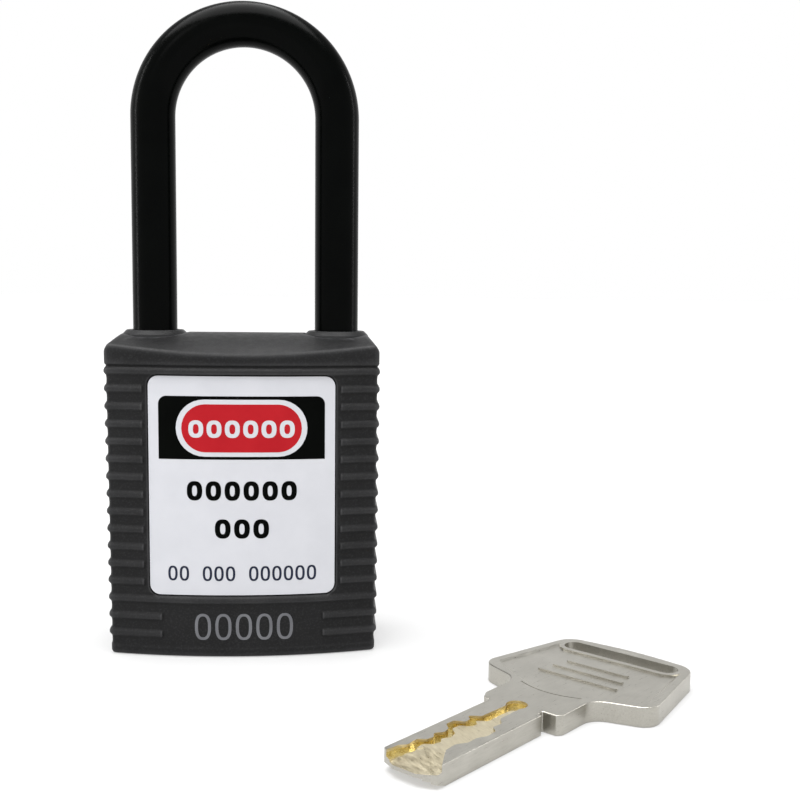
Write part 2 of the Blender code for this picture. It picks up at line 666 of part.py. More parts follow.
def cover_screw(name, parent, mat, x):
    profile = [(0.0, SCREW_HEAD_Z0), (SCREW_HEAD_R - 0.2 * MM, SCREW_HEAD_Z0),
               (SCREW_HEAD_R, SCREW_HEAD_Z0 + 0.2 * MM), (SCREW_HEAD_R, SCREW_HEAD_Z1),
               (SCREW_R, SCREW_HEAD_Z1), (SCREW_R, SCREW_Z1 - 0.5 * MM), (0.0, SCREW_Z1)]
    screw = add(name, turned(profile, 16), mat, parent, at=(x, 0, 0))
    arm, half, depth = CROSS_ARM, CROSS_HALF, SCREW_HEAD_Z0 + CROSS_DEPTH
    boolean(screw, [guide(name + "_cut_1", block(-arm, arm, -half, half, -MM, depth), x),
                    guide(name + "_cut_2", block(-half, half, -arm, arm, -MM, depth), x)])
    return screw


# ---------------------------------------------------------------- key

def key_outline():
    """Blunt tip, blade, shoulder and a two-lobed bow, mirrored about the blade's middle."""
    half = [(0.0, 1.6, 0.5), (1.0, BLADE_HALF, 0.4), (BLADE_L, BLADE_HALF, 0.0),
            (BLADE_L, 4.9, 0.3), (21.5, 5.6, 0.5), (28.0, 5.6, 2.0), (30.4, 12.6, 2.3),
            (46.6, 9.6, 3.0), (47.5, 0.0, 0.0)]
    lower = [(x * MM, -y * MM, r * MM) for x, y, r in half]
    upper = [(x, -y, r) for x, y, r in reversed(lower[:-1])]
    return round_corners(lower + upper, 4)


def track_outline(side):
    """The milled track: a scalloped far wall, a round end and a ragged near edge."""
    far = [(-1.0, 3.3), (2.3, 2.9), (3.4, 2.3), (4.9, 2.45), (6.2, 1.55), (7.5, 2.05), (9.0, 1.55),
           (10.6, 2.75), (11.6, 2.7), (12.9, 1.55), (14.0, 2.25), (15.2, 1.15), (19.4, 1.05)]
    near = [(19.6, -0.8), (16.0, -0.85), (14.6, -1.8), (13.4, -1.7), (12.4, -2.65), (11.0, -2.75),
            (9.5, -2.2), (6.6, -1.55), (4.6, -1.7), (0.4, -4.6), (-1.0, -4.6)]
    end = []
    for k in range(9):
        a = math.radians(125 - 250 * k / 8)
        end.append((TRACK_END_X + TRACK_END_R * math.cos(a),
                    TRACK_END_Y + TRACK_END_R * math.sin(a)))
    return [(x * MM, side * y * MM) for x, y in far + end + near]


def slot_outline():
    points = []
    for end in (1, -1):
        for k in range(9):
            a = math.pi * k / 8 if end == 1 else math.pi + math.pi * k / 8
            points.append((SLOT_X + SLOT_HALF_W * math.cos(a),
                           end * (SLOT_HALF_L - SLOT_HALF_W) + SLOT_HALF_W * math.sin(a)))
    return points


def key(parent, mat):
    blank = add("key", prism(key_outline(), 0.0, KEY_T), mat, parent)
    boolean(blank, [
        guide("key_track_cut_top", prism(track_outline(1), KEY_T - TRACK_DEPTH, KEY_T + MM)),
        guide("key_track_cut_bottom", prism(track_outline(-1), -MM, TRACK_DEPTH)),
        guide("key_slot_cut", prism(slot_outline(), -MM, KEY_T + MM)),
    ])
    return blank


# ---------------------------------------------------------------- assembly

def build():
    clear_scene()
    nylon = material("nylon_body", (0.028, 0.028, 0.029), 0.55)
    coated = material("shackle_coat", (0.010, 0.010, 0.011), 0.32)
    sheet = material("label_sheet", (0.70, 0.71, 0.75), 0.40)
    brass = material("brass", (0.72, 0.53, 0.25), 0.32, 1.0)
    steel = material("steel", (0.55, 0.55, 0.56), 0.28, 1.0)
    zinc = material("zinc_alloy", (0.42, 0.42, 0.43), 0.42, 1.0)
    nickel = material("nickel_key", (0.62, 0.60, 0.56), 0.34, 1.0)

    lock = empty("lock_origin", at=LOCK_AT)
    body_shell(lock, nylon)
    label("front_label", lock, sheet, -1)
    label("back_label", lock, sheet, 1)
    bottom_cover(lock, nylon)
    cover_screw("cover_screw_heel", lock, steel, LEG_X)
    cover_screw("cover_screw_toe", lock, steel, -LEG_X)
    cylinder_housing(lock, brass)
    ball_cage(lock, zinc)
    stop_pin(lock, steel)
    shackle_spring(lock, steel)

    plug_axis = empty("plug_axis", lock)
    cylinder_plug(plug_axis, brass)
    tail_cam(plug_axis, zinc)
    plug_clip(plug_axis, steel)
    for k, z in enumerate(wafer_heights(), 1):
        wafer("wafer_%d" % k, plug_axis, brass, z)
        wafer_spring("wafer_spring_%d" % k, plug_axis, steel, z)

    shackle(empty("shackle_axis", lock), coated)
    ball("ball_heel", lock, steel, BALL_X)
    ball("ball_toe", lock, steel, -BALL_X)

    key_origin = empty("key_origin", at=KEY_AT)
    key_origin.rotation_euler = (0, 0, KEY_TURN)
    key(key_origin, nickel)
    bpy.context.view_layer.update()


build()
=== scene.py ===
"""Looks for the lockout padlock and its key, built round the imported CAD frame.

Metres, in the frame's own axes.  L is the middle of the lock's underside, and every place on
the lock is given from it; places on the key are given from its tip, along its own length.
"""
import math

import bmesh
import bpy
import numpy as np
from mathutils import Matrix, Vector


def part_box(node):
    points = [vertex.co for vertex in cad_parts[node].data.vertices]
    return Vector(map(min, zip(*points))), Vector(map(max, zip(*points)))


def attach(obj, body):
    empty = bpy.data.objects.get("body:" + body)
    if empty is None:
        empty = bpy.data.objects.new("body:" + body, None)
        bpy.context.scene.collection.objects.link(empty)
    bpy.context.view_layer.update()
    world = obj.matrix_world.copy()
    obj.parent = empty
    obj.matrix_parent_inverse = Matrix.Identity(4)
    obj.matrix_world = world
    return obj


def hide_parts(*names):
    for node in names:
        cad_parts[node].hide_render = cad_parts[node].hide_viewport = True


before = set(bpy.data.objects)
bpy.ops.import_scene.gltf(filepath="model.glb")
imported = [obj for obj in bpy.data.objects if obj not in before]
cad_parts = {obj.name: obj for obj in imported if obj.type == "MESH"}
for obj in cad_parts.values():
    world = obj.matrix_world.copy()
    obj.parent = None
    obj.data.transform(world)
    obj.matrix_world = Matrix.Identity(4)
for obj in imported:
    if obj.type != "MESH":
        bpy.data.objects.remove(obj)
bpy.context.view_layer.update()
MM = 0.001

# ---- places read from the frame

shackle_lo, shackle_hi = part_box("shackle")
shell_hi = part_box("body_shell")[1]
spring_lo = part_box("shackle_spring")[0]
label_lo, label_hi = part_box("front_label")
cage_lo, cage_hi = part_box("ball_cage")
ball_lo, ball_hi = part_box("ball_heel")
cover_lo, cover_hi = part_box("bottom_cover")
screw_lo, screw_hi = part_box("cover_screw_heel")
plug_lo, plug_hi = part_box("cylinder_plug")
pin_lo, pin_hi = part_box("heel_stop_pin")
key_lo, key_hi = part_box("key")

L = Vector(((shackle_lo.x + shackle_hi.x) / 2, (shackle_lo.y + shackle_hi.y) / 2, 0.0))
LEG_R = (shackle_hi.y - shackle_lo.y) / 2
LEG_X = (shackle_hi.x - shackle_lo.x) / 2 - LEG_R
ARCH_Z = shackle_hi.z - LEG_X - LEG_R
HEEL_Z = shackle_lo.z
BALL_R = (ball_hi.z - ball_lo.z) / 2
BALL_X = (ball_lo.x + ball_hi.x) / 2 - L.x
BALL_Z = (ball_lo.z + ball_hi.z) / 2
LABEL_Z0, LABEL_Z1 = label_lo.z, label_hi.z
LABEL_W = label_hi.x - label_lo.x
CAGE_R = (cage_hi.x - cage_lo.x) / 2

# ---- sizes of the visible pieces; outer sizes are the CAD's

HALF_W_TOP, HALF_W_FOOT = 19.02 * MM, 18.72 * MM
HALF_D_TOP, HALF_D_FOOT = 9.9 * MM, 9.7 * MM
BODY_H = 44.9 * MM
BULGE, CORNER_R, DOME_R = 2.5 * MM, 1.0 * MM, 18.7 * MM
SHOULDER_X, SHOULDER_DROP = 17.1 * MM, 1.146
COLLAR_R, COLLAR_TOP = 4.6 * MM, shell_hi.z
COLLAR_SEAT, MOAT = 43.2 * MM, 0.28 * MM
RIB_TOP, RIB_PITCH, RIB_COUNT, RIB_PROUD = 40.42 * MM, 2.44 * MM, 16, 0.33 * MM
RIB_UNDER_LABEL = 13  # this rib and the first run right across
HOLLOW = 0.12  # depth between ribs, as a share of a rib's height
SIDE_RIB_X, LOW_RIB_X = 13.38 * MM, 10.95 * MM
LABEL_GAP, RECESS_CORNER, RECESS_DEPTH = 0.12 * MM, 1.5 * MM, 0.53 * MM
FOOT_DEPTH, TOP_BAND_DEPTH = 0.24 * MM, 0.1 * MM
TOE_Z = 33.2 * MM
NECK_R, NECK_Z0, NECK_Z1 = 2.2 * MM, 18.3 * MM, 33.6 * MM
LIFT, BALL_TRAVEL = 12.5 * MM, 3.0 * MM
BORE_R = LEG_R + 0.16 * MM  # hole for a leg
GAP = 0.3 * MM  # room left round an inner piece
SCREW_HOLE_R = 1.1 * MM
KEY_TURN, KEY_T = math.radians(45.0), key_hi.z - key_lo.z
MILL_SKEW = 0.35  # angle of the milling marks, off the key's length
SHARP_ANGLE, CRISP_ANGLE = 35, 28  # degrees
INK = 0.012 * MM  # one layer of ink
WELD_MM = 0.0005  # corners nearer than this, in mm, are one


# ---- material kit

class Nodes:
    """A short way to write a node material."""

    def __init__(self, name):
        self.mat = bpy.data.materials.new(name)
        self.mat.use_nodes = True
        self.tree = self.mat.node_tree
        self.shader = self.tree.nodes["Principled BSDF"]
        self.coords = self.tree.nodes.new("ShaderNodeTexCoord").outputs["Object"]

    def link(self, source, node, socket):
        self.tree.links.new(source, node.inputs[socket])

    def set(self, **values):
        for socket, value in values.items():
            self.shader.inputs[socket.replace("_", " ")].default_value = value

    def scaled(self, scale, turn):
        """Coordinates turned about Z, then stretched along each axis."""
        node = self.tree.nodes.new("ShaderNodeMapping")
        node.vector_type = "TEXTURE"
        node.inputs["Rotation"].default_value = (0, 0, turn)
        node.inputs["Scale"].default_value = [1 / s for s in scale]
        self.link(self.coords, node, "Vector")
        return node.outputs["Vector"]

    def noise(self, scale, detail=3.0, rough=0.55, vector=None):
        node = self.tree.nodes.new("ShaderNodeTexNoise")
        node.inputs["Scale"].default_value = scale
        node.inputs["Detail"].default_value = detail
        node.inputs["Roughness"].default_value = rough
        self.link(vector or self.coords, node, "Vector")
        return node.outputs["Fac"]

    def ramp(self, source, stops):
        """stops: (position, value) pairs, a value being a number or a colour."""
        node = self.tree.nodes.new("ShaderNodeValToRGB")
        elements = node.color_ramp.elements
        while len(elements) < len(stops):
            elements.new(0.5)
        for element, (position, value) in zip(elements, stops):
            element.position = position
            rgb = value if isinstance(value, tuple) else (value, value, value)
            element.color = (*rgb, 1.0)
        self.link(source, node, "Fac")
        return node.outputs["Color"]

    def feed(self, node, index, value):
        """Give an input a number, a colour or another node's output."""
        if isinstance(value, tuple):
            node.inputs[index].default_value = (*value, 1.0)
        elif isinstance(value, (int, float)):
            node.inputs[index].default_value = value
        else:
            self.link(value, node, index)

    def mix(self, factor, a, b):
        """a where the factor is 0, b where it is 1; either may be a colour."""
        node = self.tree.nodes.new("ShaderNodeMix")
        node.data_type = "RGBA"
        for index, value in ((6, a), (7, b), (0, factor)):
            self.feed(node, index, value)
        return node.outputs[2]

    def math(self, operation, a, b):
        node = self.tree.nodes.new("ShaderNodeMath")
        node.operation = operation
        for index, value in enumerate((a, b)):
            self.feed(node, index, value)
        return node.outputs[0]

    def edges(self, low, high):
        """The mesh's pointiness from low (black) to high (white); a flat face has 0.5."""
        geometry = self.tree.nodes.new("ShaderNodeNewGeometry")
        return self.ramp(geometry.outputs["Pointiness"], [(low, 0.0), (high, 1.0)])

    def bump(self, height, distance, strength):
        node = self.tree.nodes.new("ShaderNodeBump")
        node.inputs["Strength"].default_value = strength
        node.inputs["Distance"].default_value = distance
        self.link(height, node, "Height")
        self.link(node.outputs["Normal"], self.shader, "Normal")

    def color(self, source):
        self.link(source, self.shader, "Base Color")

    def roughness(self, source):
        self.link(source, self.shader, "Roughness")


def nylon_material(name, paint_rib_light):
    """Charcoal moulded nylon with spark-eroded grain; on the ribbed copy, hollows and creases get
    painted shade and crests get a painted highlight, in patches."""
    m = Nodes(name)
    grain = m.noise(3800, 4.0, 0.6)
    cloud = m.noise(160, 3.0)
    tone = m.ramp(cloud, [(0.3, (0.007, 0.007, 0.0073)), (0.7, (0.01, 0.01, 0.0104))])
    speck = m.ramp(m.noise(4200, 2.0), [(0.5, 0.0), (0.7, 1.0)])
    tone = m.mix(m.math("MULTIPLY", speck, 0.55), tone, (0.026, 0.026, 0.027))
    if paint_rib_light:
        # painted shade: concave places (hollows between ribs, creases, recess edges) are darkened
        tone = m.mix(m.edges(0.44, 0.498), (0.006, 0.006, 0.0062), tone)
        # painted highlight: convex rib crests are made paler, in cloudy patches
        patches = m.ramp(cloud, [(0.35, 0.36), (0.65, 0.72)])
        crest_highlight = m.math("MULTIPLY", m.edges(0.504, 0.545), patches)
        tone = m.mix(crest_highlight, tone, (0.06, 0.06, 0.062))
    m.color(tone)
    m.roughness(m.ramp(m.noise(900, 4.0), [(0.3, 0.38), (0.7, 0.52)]))
    m.set(Specular_IOR_Level=0.15)
    m.bump(grain, 0.02 * MM, 0.9)
    return m.mat


def shackle_material():
    """Near-black smooth nylon with faint handling marks."""
    m = Nodes("shackle_black_nylon")
    cloud = m.noise(220, 3.0)
    m.color(m.ramp(cloud, [(0.3, (0.0003, 0.0005, 0.0004)), (0.7, (0.0007, 0.001, 0.0008))]))
    scuffs = m.noise(1400, 5.0, 0.7)
    m.roughness(m.ramp(scuffs, [(0.35, 0.18), (0.68, 0.27)]))
    m.set(Specular_IOR_Level=0.038)
    m.bump(m.noise(2600, 3.0), 0.008 * MM, 0.7)
    return m.mat


def printed_material(name, color, shade, roughness=(0.34, 0.44), specular=0.1):
    """One ink or the bare vinyl of the label."""
    m = Nodes(name)
    cloud = m.noise(260, 4.0)
    m.color(m.ramp(cloud, [(0.32, shade), (0.68, color)]))
    m.roughness(m.ramp(m.noise(1800, 4.0), [(0.3, roughness[0]), (0.7, roughness[1])]))
    m.set(Specular_IOR_Level=specular)
    m.bump(m.noise(2400, 3.0), 0.006 * MM, 0.6)
    return m.mat


def metal_material(name, color, shade, roughness, grain, turn, depth, speck=None):
    """A metal whose grain is drawn out along the axes with the smaller grain numbers."""
    m = Nodes(name)
    streak = m.noise(1.0, 4.0, 0.65, m.scaled(grain, turn))
    cloud = m.noise(240, 3.0)
    tone = m.ramp(m.math("ADD", m.math("MULTIPLY", streak, 0.6), m.math("MULTIPLY", cloud, 0.4)),
                  [(0.36, shade), (0.64, color)])
    if speck:
        spots = m.ramp(m.noise(900, 5.0, 0.7), [(0.6, 0.0), (0.72, 1.0)])
        tone = m.mix(m.math("MULTIPLY", spots, 0.5), tone, speck)
    m.color(tone)
    m.roughness(m.ramp(streak, [(0.3, roughness[0]), (0.7, roughness[1])]))
    m.set(Metallic=1.0)
    m.bump(streak, depth * MM, 0.8)
    return m.mat


NYLON = nylon_material("nylon_charcoal", True)
NYLON_FLAT = nylon_material("nylon_charcoal_flat", False)
SHACKLE = shackle_material()
VINYL = printed_material("label_vinyl", (0.575, 0.58, 0.612), (0.548, 0.554, 0.586))
INK_BLACK = printed_material("ink_black", (0.0016, 0.002, 0.0016), (0.0009, 0.0012, 0.001),
                             specular=0.02)
INK_RED = printed_material("ink_red", (0.42, 0.013, 0.019), (0.38, 0.01, 0.016), specular=0.06)
INK_NAVY = printed_material("ink_navy", (0.02, 0.024, 0.045), (0.014, 0.017, 0.034))
INK_GREY = printed_material("number_grey", (0.165, 0.168, 0.18), (0.12, 0.122, 0.132), (0.45, 0.6))
NICKEL = metal_material("key_nickel", (0.465, 0.45, 0.405), (0.375, 0.36, 0.32), (0.26, 0.42),
                        (500, 5200, 5200), KEY_TURN, 0.01, (0.34, 0.32, 0.28))
KEY_BRASS = metal_material("key_milled_brass", (0.76, 0.66, 0.36), (0.6, 0.49, 0.23),
                           (0.2, 0.36), (2600, 900, 2600), KEY_TURN, 0.01)
MILLED = metal_material("key_milled_flat", (0.72, 0.65, 0.48), (0.56, 0.49, 0.33),
                        (0.26, 0.42), (3200, 700, 3200), KEY_TURN - MILL_SKEW, 0.03)
BRASS = metal_material("turned_brass", (0.76, 0.56, 0.26), (0.64, 0.45, 0.19),
                       (0.24, 0.38), (500, 500, 9000), 0.0, 0.008)
STEEL = metal_material("bright_steel", (0.62, 0.62, 0.63), (0.5, 0.5, 0.51),
                       (0.18, 0.32), (2600, 2600, 2600), 0.0, 0.004)
ZINC = metal_material("cast_zinc", (0.46, 0.46, 0.47), (0.36, 0.36, 0.37),
                      (0.42, 0.6), (1500, 1500, 1500), 0.0, 0.02)


# ---- mesh kit

def finish_piece(item, body, replaced=(), at=L):
    """Put a piece in its place, hang it on the body it rides and hide the CAD parts it replaces."""
    item.location = at
    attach(item, body)
    if replaced:
        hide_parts(*replaced)


def to_object(name, bm, mats):
    """A named object from a bmesh, faces outward, smooth with sharp edges kept."""
    bmesh.ops.recalc_face_normals(bm, faces=bm.faces)
    mesh = bpy.data.meshes.new(name)
    bm.to_mesh(mesh)
    bm.free()
    mesh.shade_smooth()
    mesh.set_sharp_from_angle(angle=math.radians(SHARP_ANGLE))
    for mat in mats:
        mesh.materials.append(mat)
    item = bpy.data.objects.new(name, mesh)
    bpy.context.scene.collection.objects.link(item)
    return item


def bm_from(verts, faces):
    mesh = bpy.data.meshes.new("scratch")
    mesh.from_pydata([tuple(v) for v in verts], [], [tuple(f) for f in faces])
    bm = bmesh.new()
    bm.from_mesh(mesh)
    bpy.data.meshes.remove(mesh)
    return bm


def ring_faces(rings, count):
    """Quads between rings of equal length, laid one after another, with the ends closed."""
    faces = []
    for r in range(rings - 1):
        low, high = r * count, (r + 1) * count
        for k in range(count):
            n = (k + 1) % count
            faces.append((low + k, low + n, high + n, high + k))
    faces.append(tuple(reversed(range(count))))
    faces.append(tuple(range((rings - 1) * count, rings * count)))
    return faces


def turned(profile, segments=64):
    """A shape turned about Z from (radius, z) points: solid where the profile starts and ends
    on the axis, or else a ring."""
    bm = bmesh.new()
    rings = []
    for r, z in profile:
        if r == 0.0:
            rings.append([bm.verts.new((0, 0, z))])
            continue
        angles = (2 * math.pi * k / segments for k in range(segments))
        rings.append([bm.verts.new((r * math.cos(a), r * math.sin(a), z)) for a in angles])
    pairs = list(zip(rings, rings[1:]))
    if profile[0][0] != 0.0:
        pairs.append((rings[-1], rings[0]))
    for below, above in pairs:
        for k in range(segments):
            n = (k + 1) % segments
            corners = [below[k % len(below)], below[n % len(below)],
                       above[n % len(above)], above[k % len(above)]]
            bm.faces.new(list(dict.fromkeys(corners)))
    return bm


def cylinder(r, z0, z1, segments=64):
    return turned([(0.0, z0), (r, z0), (r, z1), (0.0, z1)], segments)


def rounded_profile(corners):
    """Corners (r, z, radius) of a turned profile, each replaced by an arc."""
    return [(max(0.0, x), z) for x, z in round_corners(corners, 5, closed=False)]


def quarter_turn(steps):
    return [math.pi / 2 * k / steps for k in range(steps + 1)]


def round_corners(corners, steps, closed=True):
    """An outline whose corners (x, y, radius) are replaced by tangent arcs."""
    points = []
    count = len(corners)
    for i, (x, y, radius) in enumerate(corners):
        here = Vector((x, y))
        if radius == 0.0 or (not closed and i in (0, count - 1)):
            points.append((x, y))
            continue
        back = (Vector(corners[i - 1][:2]) - here).normalized()
        ahead = (Vector(corners[(i + 1) % count][:2]) - here).normalized()
        half = math.acos(max(-1.0, min(1.0, back.dot(ahead)))) / 2
        centre = here + (back + ahead).normalized() * (radius / math.sin(half))
        start = here + back * (radius / math.tan(half)) - centre
        swing = math.pi - 2 * half
        turn = 1.0 if back.x * ahead.y - back.y * ahead.x < 0 else -1.0
        for k in range(steps + 1):
            p = centre + Matrix.Rotation(turn * swing * k / steps, 2) @ start
            points.append((p.x, p.y))
    return points


def rounded_box(x0, x1, y0, y1, radius, steps):
    corners = ((x0, y0), (x1, y0), (x1, y1), (x0, y1))
    return round_corners([(x, y, radius) for x, y in corners], steps)


def prism(outline, z0, z1):
    """A closed outline pulled up from z0 to z1."""
    verts = [(x, y, z) for z in (z0, z1) for x, y in outline]
    return bm_from(verts, ring_faces(2, len(outline)))


def inset(outline, distance):
    """The outline moved inward by a small distance along its corner normals."""
    moved = []
    count = len(outline)
    area = sum(outline[i - 1][0] * outline[i][1] - outline[i][0] * outline[i - 1][1]
               for i in range(count))
    side = 1.0 if area > 0 else -1.0
    for i in range(count):
        here = Vector(outline[i])
        back = (here - Vector(outline[i - 1])).normalized()
        ahead = (Vector(outline[(i + 1) % count]) - here).normalized()
        normal = Vector((-(back.y + ahead.y), back.x + ahead.x)) * side
        if normal.length < 1e-9:
            normal = Vector((-back.y, back.x)) * side
        normal.normalize()
        stretch = max(0.5, normal.dot(Vector((-back.y, back.x)) * side))
        moved.append(tuple(here + normal * (distance / stretch)))
    return moved


def soft_prism(outline, z0, z1, edge, steps=4):
    """A prism whose top and bottom edges are rounded by the radius edge."""
    levels = [(edge * (1 - math.sin(a)), z0 + edge * (1 - math.cos(a)))
              for a in quarter_turn(steps)]
    levels += [(d, z0 + z1 - z) for d, z in reversed(levels)]
    verts = [(x, y, z) for d, z in levels for x, y in inset(outline, d)]
    return bm_from(verts, ring_faces(len(levels), len(outline)))


def sweep(path, sides):
    """A round bar along (point, tangent, radius) in the XZ plane."""
    verts = []
    across = Vector((0, 1, 0))
    for point, tangent, radius in path:
        up = tangent.cross(across)
        for k in range(sides):
            a = 2 * math.pi * k / sides
            verts.append(point + (across * math.cos(a) + up * math.sin(a)) * radius)
    return bm_from(verts, ring_faces(len(path), sides))


def cut(item, cutters):
    """Cut (bmesh, material or None) pairs out of a piece, in millimetres, where the solver
    keeps fine meshes closed."""
    group = bpy.data.collections.new("cutters")
    item.data.transform(Matrix.Scale(1 / MM, 4))
    made = []
    for k, (bm, mat) in enumerate(cutters):
        cutter = to_object("cutter_%d" % k, bm, [mat] if mat else [])
        cutter.data.transform(Matrix.Scale(1 / MM, 4))
        group.objects.link(cutter)
        made.append(cutter)
    mod = item.modifiers.new("boolean", "BOOLEAN")
    mod.operation = "DIFFERENCE"
    mod.solver = "EXACT"
    mod.operand_type = "COLLECTION"
    mod.collection = group
    mod.material_mode = "TRANSFER"
    apply_modifiers(item)
    bm = bmesh.new()
    bm.from_mesh(item.data)
    weld(bm, WELD_MM)
    bm.to_mesh(item.data)
    bm.free()
    item.data.transform(Matrix.Scale(MM, 4))
    for cutter in made:
        bpy.data.objects.remove(cutter, do_unlink=True)
    bpy.data.collections.remove(group)


def weld(bm, distance):
    """Merge corners nearer than the distance, and drop the faces that this flattens."""
    bmesh.ops.remove_doubles(bm, verts=bm.verts, dist=distance)
    bmesh.ops.dissolve_degenerate(bm, dist=distance, edges=bm.edges)


def apply_modifiers(item):
    bpy.context.view_layer.update()
    graph = bpy.context.evaluated_depsgraph_get()
    mesh = bpy.data.meshes.new_from_object(item.evaluated_get(graph))
    item.modifiers.clear()
    old = item.data
    item.data = mesh
    bpy.data.meshes.remove(old)
    mesh.name = item.name


def crisp(item, angle=CRISP_ANGLE):
    """Shade smooth inside each face group, flat on broad faces, and sharp past the angle."""
    mesh = item.data
    mesh.shade_smooth()
    mesh.set_sharp_from_angle(angle=math.radians(angle))
    mod = item.modifiers.new("weighted", "WEIGHTED_NORMAL")
    mod.keep_sharp = True
    mod.weight = 80
    apply_modifiers(item)


def move(bm, x=0.0, y=0.0, z=0.0):
    bmesh.ops.translate(bm, verts=bm.verts, vec=(x, y, z))
    return bm


def along_x(bm):
    bmesh.ops.rotate(bm, verts=bm.verts, cent=(0, 0, 0), matrix=Matrix.Rotation(math.pi / 2, 3, "Y"))
    return bm


# ---- moulded body

def half_width(z):
    return HALF_W_FOOT + (HALF_W_TOP - HALF_W_FOOT) * z / BODY_H


def half_depth(x, z):
    middle = HALF_D_FOOT + (HALF_D_TOP - HALF_D_FOOT) * z / BODY_H
    return middle - BULGE * (x / half_width(z)) ** 2


def smooth(t):
    t = np.clip(t, 0.0, 1.0)
    return t * t * (3 - 2 * t)


def rib_height(below):
    """How proud a rib stands, as a share of its full height, at a distance below its upper
    edge: sloped top, crest, fall, and a shallow hollow before the next rib."""
    d = below / MM
    crest, fall_run, hollow_from, hollow_run = 0.8, 0.5, 1.3, 1.14
    rise = np.sin(np.clip(d / 0.62, 0, 1) * np.pi / 2) ** 0.9
    fall = 1 - smooth((d - crest) / fall_run)
    scallop = -HOLLOW * np.sin(np.clip((d - hollow_from) / hollow_run, 0, 1) * np.pi)
    return np.where(d < crest, rise, fall + scallop)


def body_inset(x, z):
    """Depth of the surface below the envelope: ribs, label recess, top band and foot."""
    across = np.abs(x)
    index = np.floor((RIB_TOP - z) / RIB_PITCH)
    inside = (index >= 0) & (index < RIB_COUNT)
    below = (RIB_TOP - z) - index * RIB_PITCH
    end = 0.28 * MM
    side = smooth((across - SIDE_RIB_X) / end)
    low = smooth((across - LOW_RIB_X) / end)
    mask = np.where((index == 0) | (index == RIB_UNDER_LABEL), 1.0,
                    np.where(index < RIB_UNDER_LABEL, side, low))
    proud = np.where(inside, np.maximum(rib_height(below), -HOLLOW) * mask, 0.0)
    depth = RIB_PROUD * (1 - proud)
    half_h = (LABEL_Z1 - LABEL_Z0) / 2
    qx = across - (LABEL_W / 2 + LABEL_GAP - RECESS_CORNER)
    qz = np.abs(z - (LABEL_Z0 + half_h)) - (half_h + LABEL_GAP - RECESS_CORNER)
    distance = (np.hypot(np.maximum(qx, 0), np.maximum(qz, 0)) + np.minimum(np.maximum(qx, qz), 0)
                - RECESS_CORNER)
    wall = 0.16 * MM
    recess = smooth(0.5 - distance / wall)
    depth = depth * (1 - recess) + recess * (RIB_PROUD + RECESS_DEPTH)
    band_start, band_run = 0.1 * MM, 0.3 * MM
    top_band = smooth((z - RIB_TOP - band_start) / band_run)
    depth = depth * (1 - top_band) + top_band * TOP_BAND_DEPTH
    foot_top, foot_run = 1.7 * MM, 0.5 * MM
    foot = smooth((foot_top - z) / foot_run)
    return depth * (1 - foot) + foot * FOOT_DEPTH


def body_columns():
    """The front's x positions: closest together where ribs and label end."""
    fine = list(np.arange(10.6, 11.5, 0.12)) + list(np.arange(11.6, 14.0, 0.12))
    right = list(np.arange(0.9, 10.5, 0.9)) + fine + list(np.arange(14.4, 17.8, 0.55))
    right = np.array(right) * MM
    return np.concatenate([-right[::-1], [0.0], right])


def body_ring(z):
    """The envelope at height z: points and outward normals, front first, anticlockwise. The
    second half is the first turned half round."""
    w = half_width(z)
    steps = 8
    first = math.radians(14)  # where the corner's arc leaves the bulged front
    start_x = w - CORNER_R + CORNER_R * math.sin(first)
    centre_y = half_depth(start_x, z) - CORNER_R * math.cos(first)
    front = [(x, -half_depth(x, z), 0.0, -1.0) for x in body_columns()]
    corner = []
    for k in range(steps + 1):
        a = first + (math.pi / 2 - first) * k / steps
        corner.append((w - CORNER_R + CORNER_R * math.sin(a), -(centre_y + CORNER_R * math.cos(a)),
                       math.sin(a), -math.cos(a)))
    side = [(w, -centre_y * (1 - k / steps), 1.0, 0.0) for k in range(1, steps)]
    mirrored = [(x, -y, nx, -ny) for x, y, nx, ny in reversed(corner + side)]
    half = np.array(front + corner + side + [(w, 0.0, 1.0, 0.0)] + mirrored)
    return np.concatenate([half, -half])


def top_height(x, y):
    """The domed top with its shoulder chamfers, the two meeting in a small round."""
    dome = BODY_H - DOME_R + np.sqrt(DOME_R ** 2 - y ** 2)
    shoulder = BODY_H - SHOULDER_DROP * (np.abs(x) - SHOULDER_X)
    soft = 0.3 * MM
    blend = np.clip(0.5 + 0.5 * (shoulder - dome) / soft, 0, 1)
    return shoulder * (1 - blend) + dome * blend - soft * blend * (1 - blend)


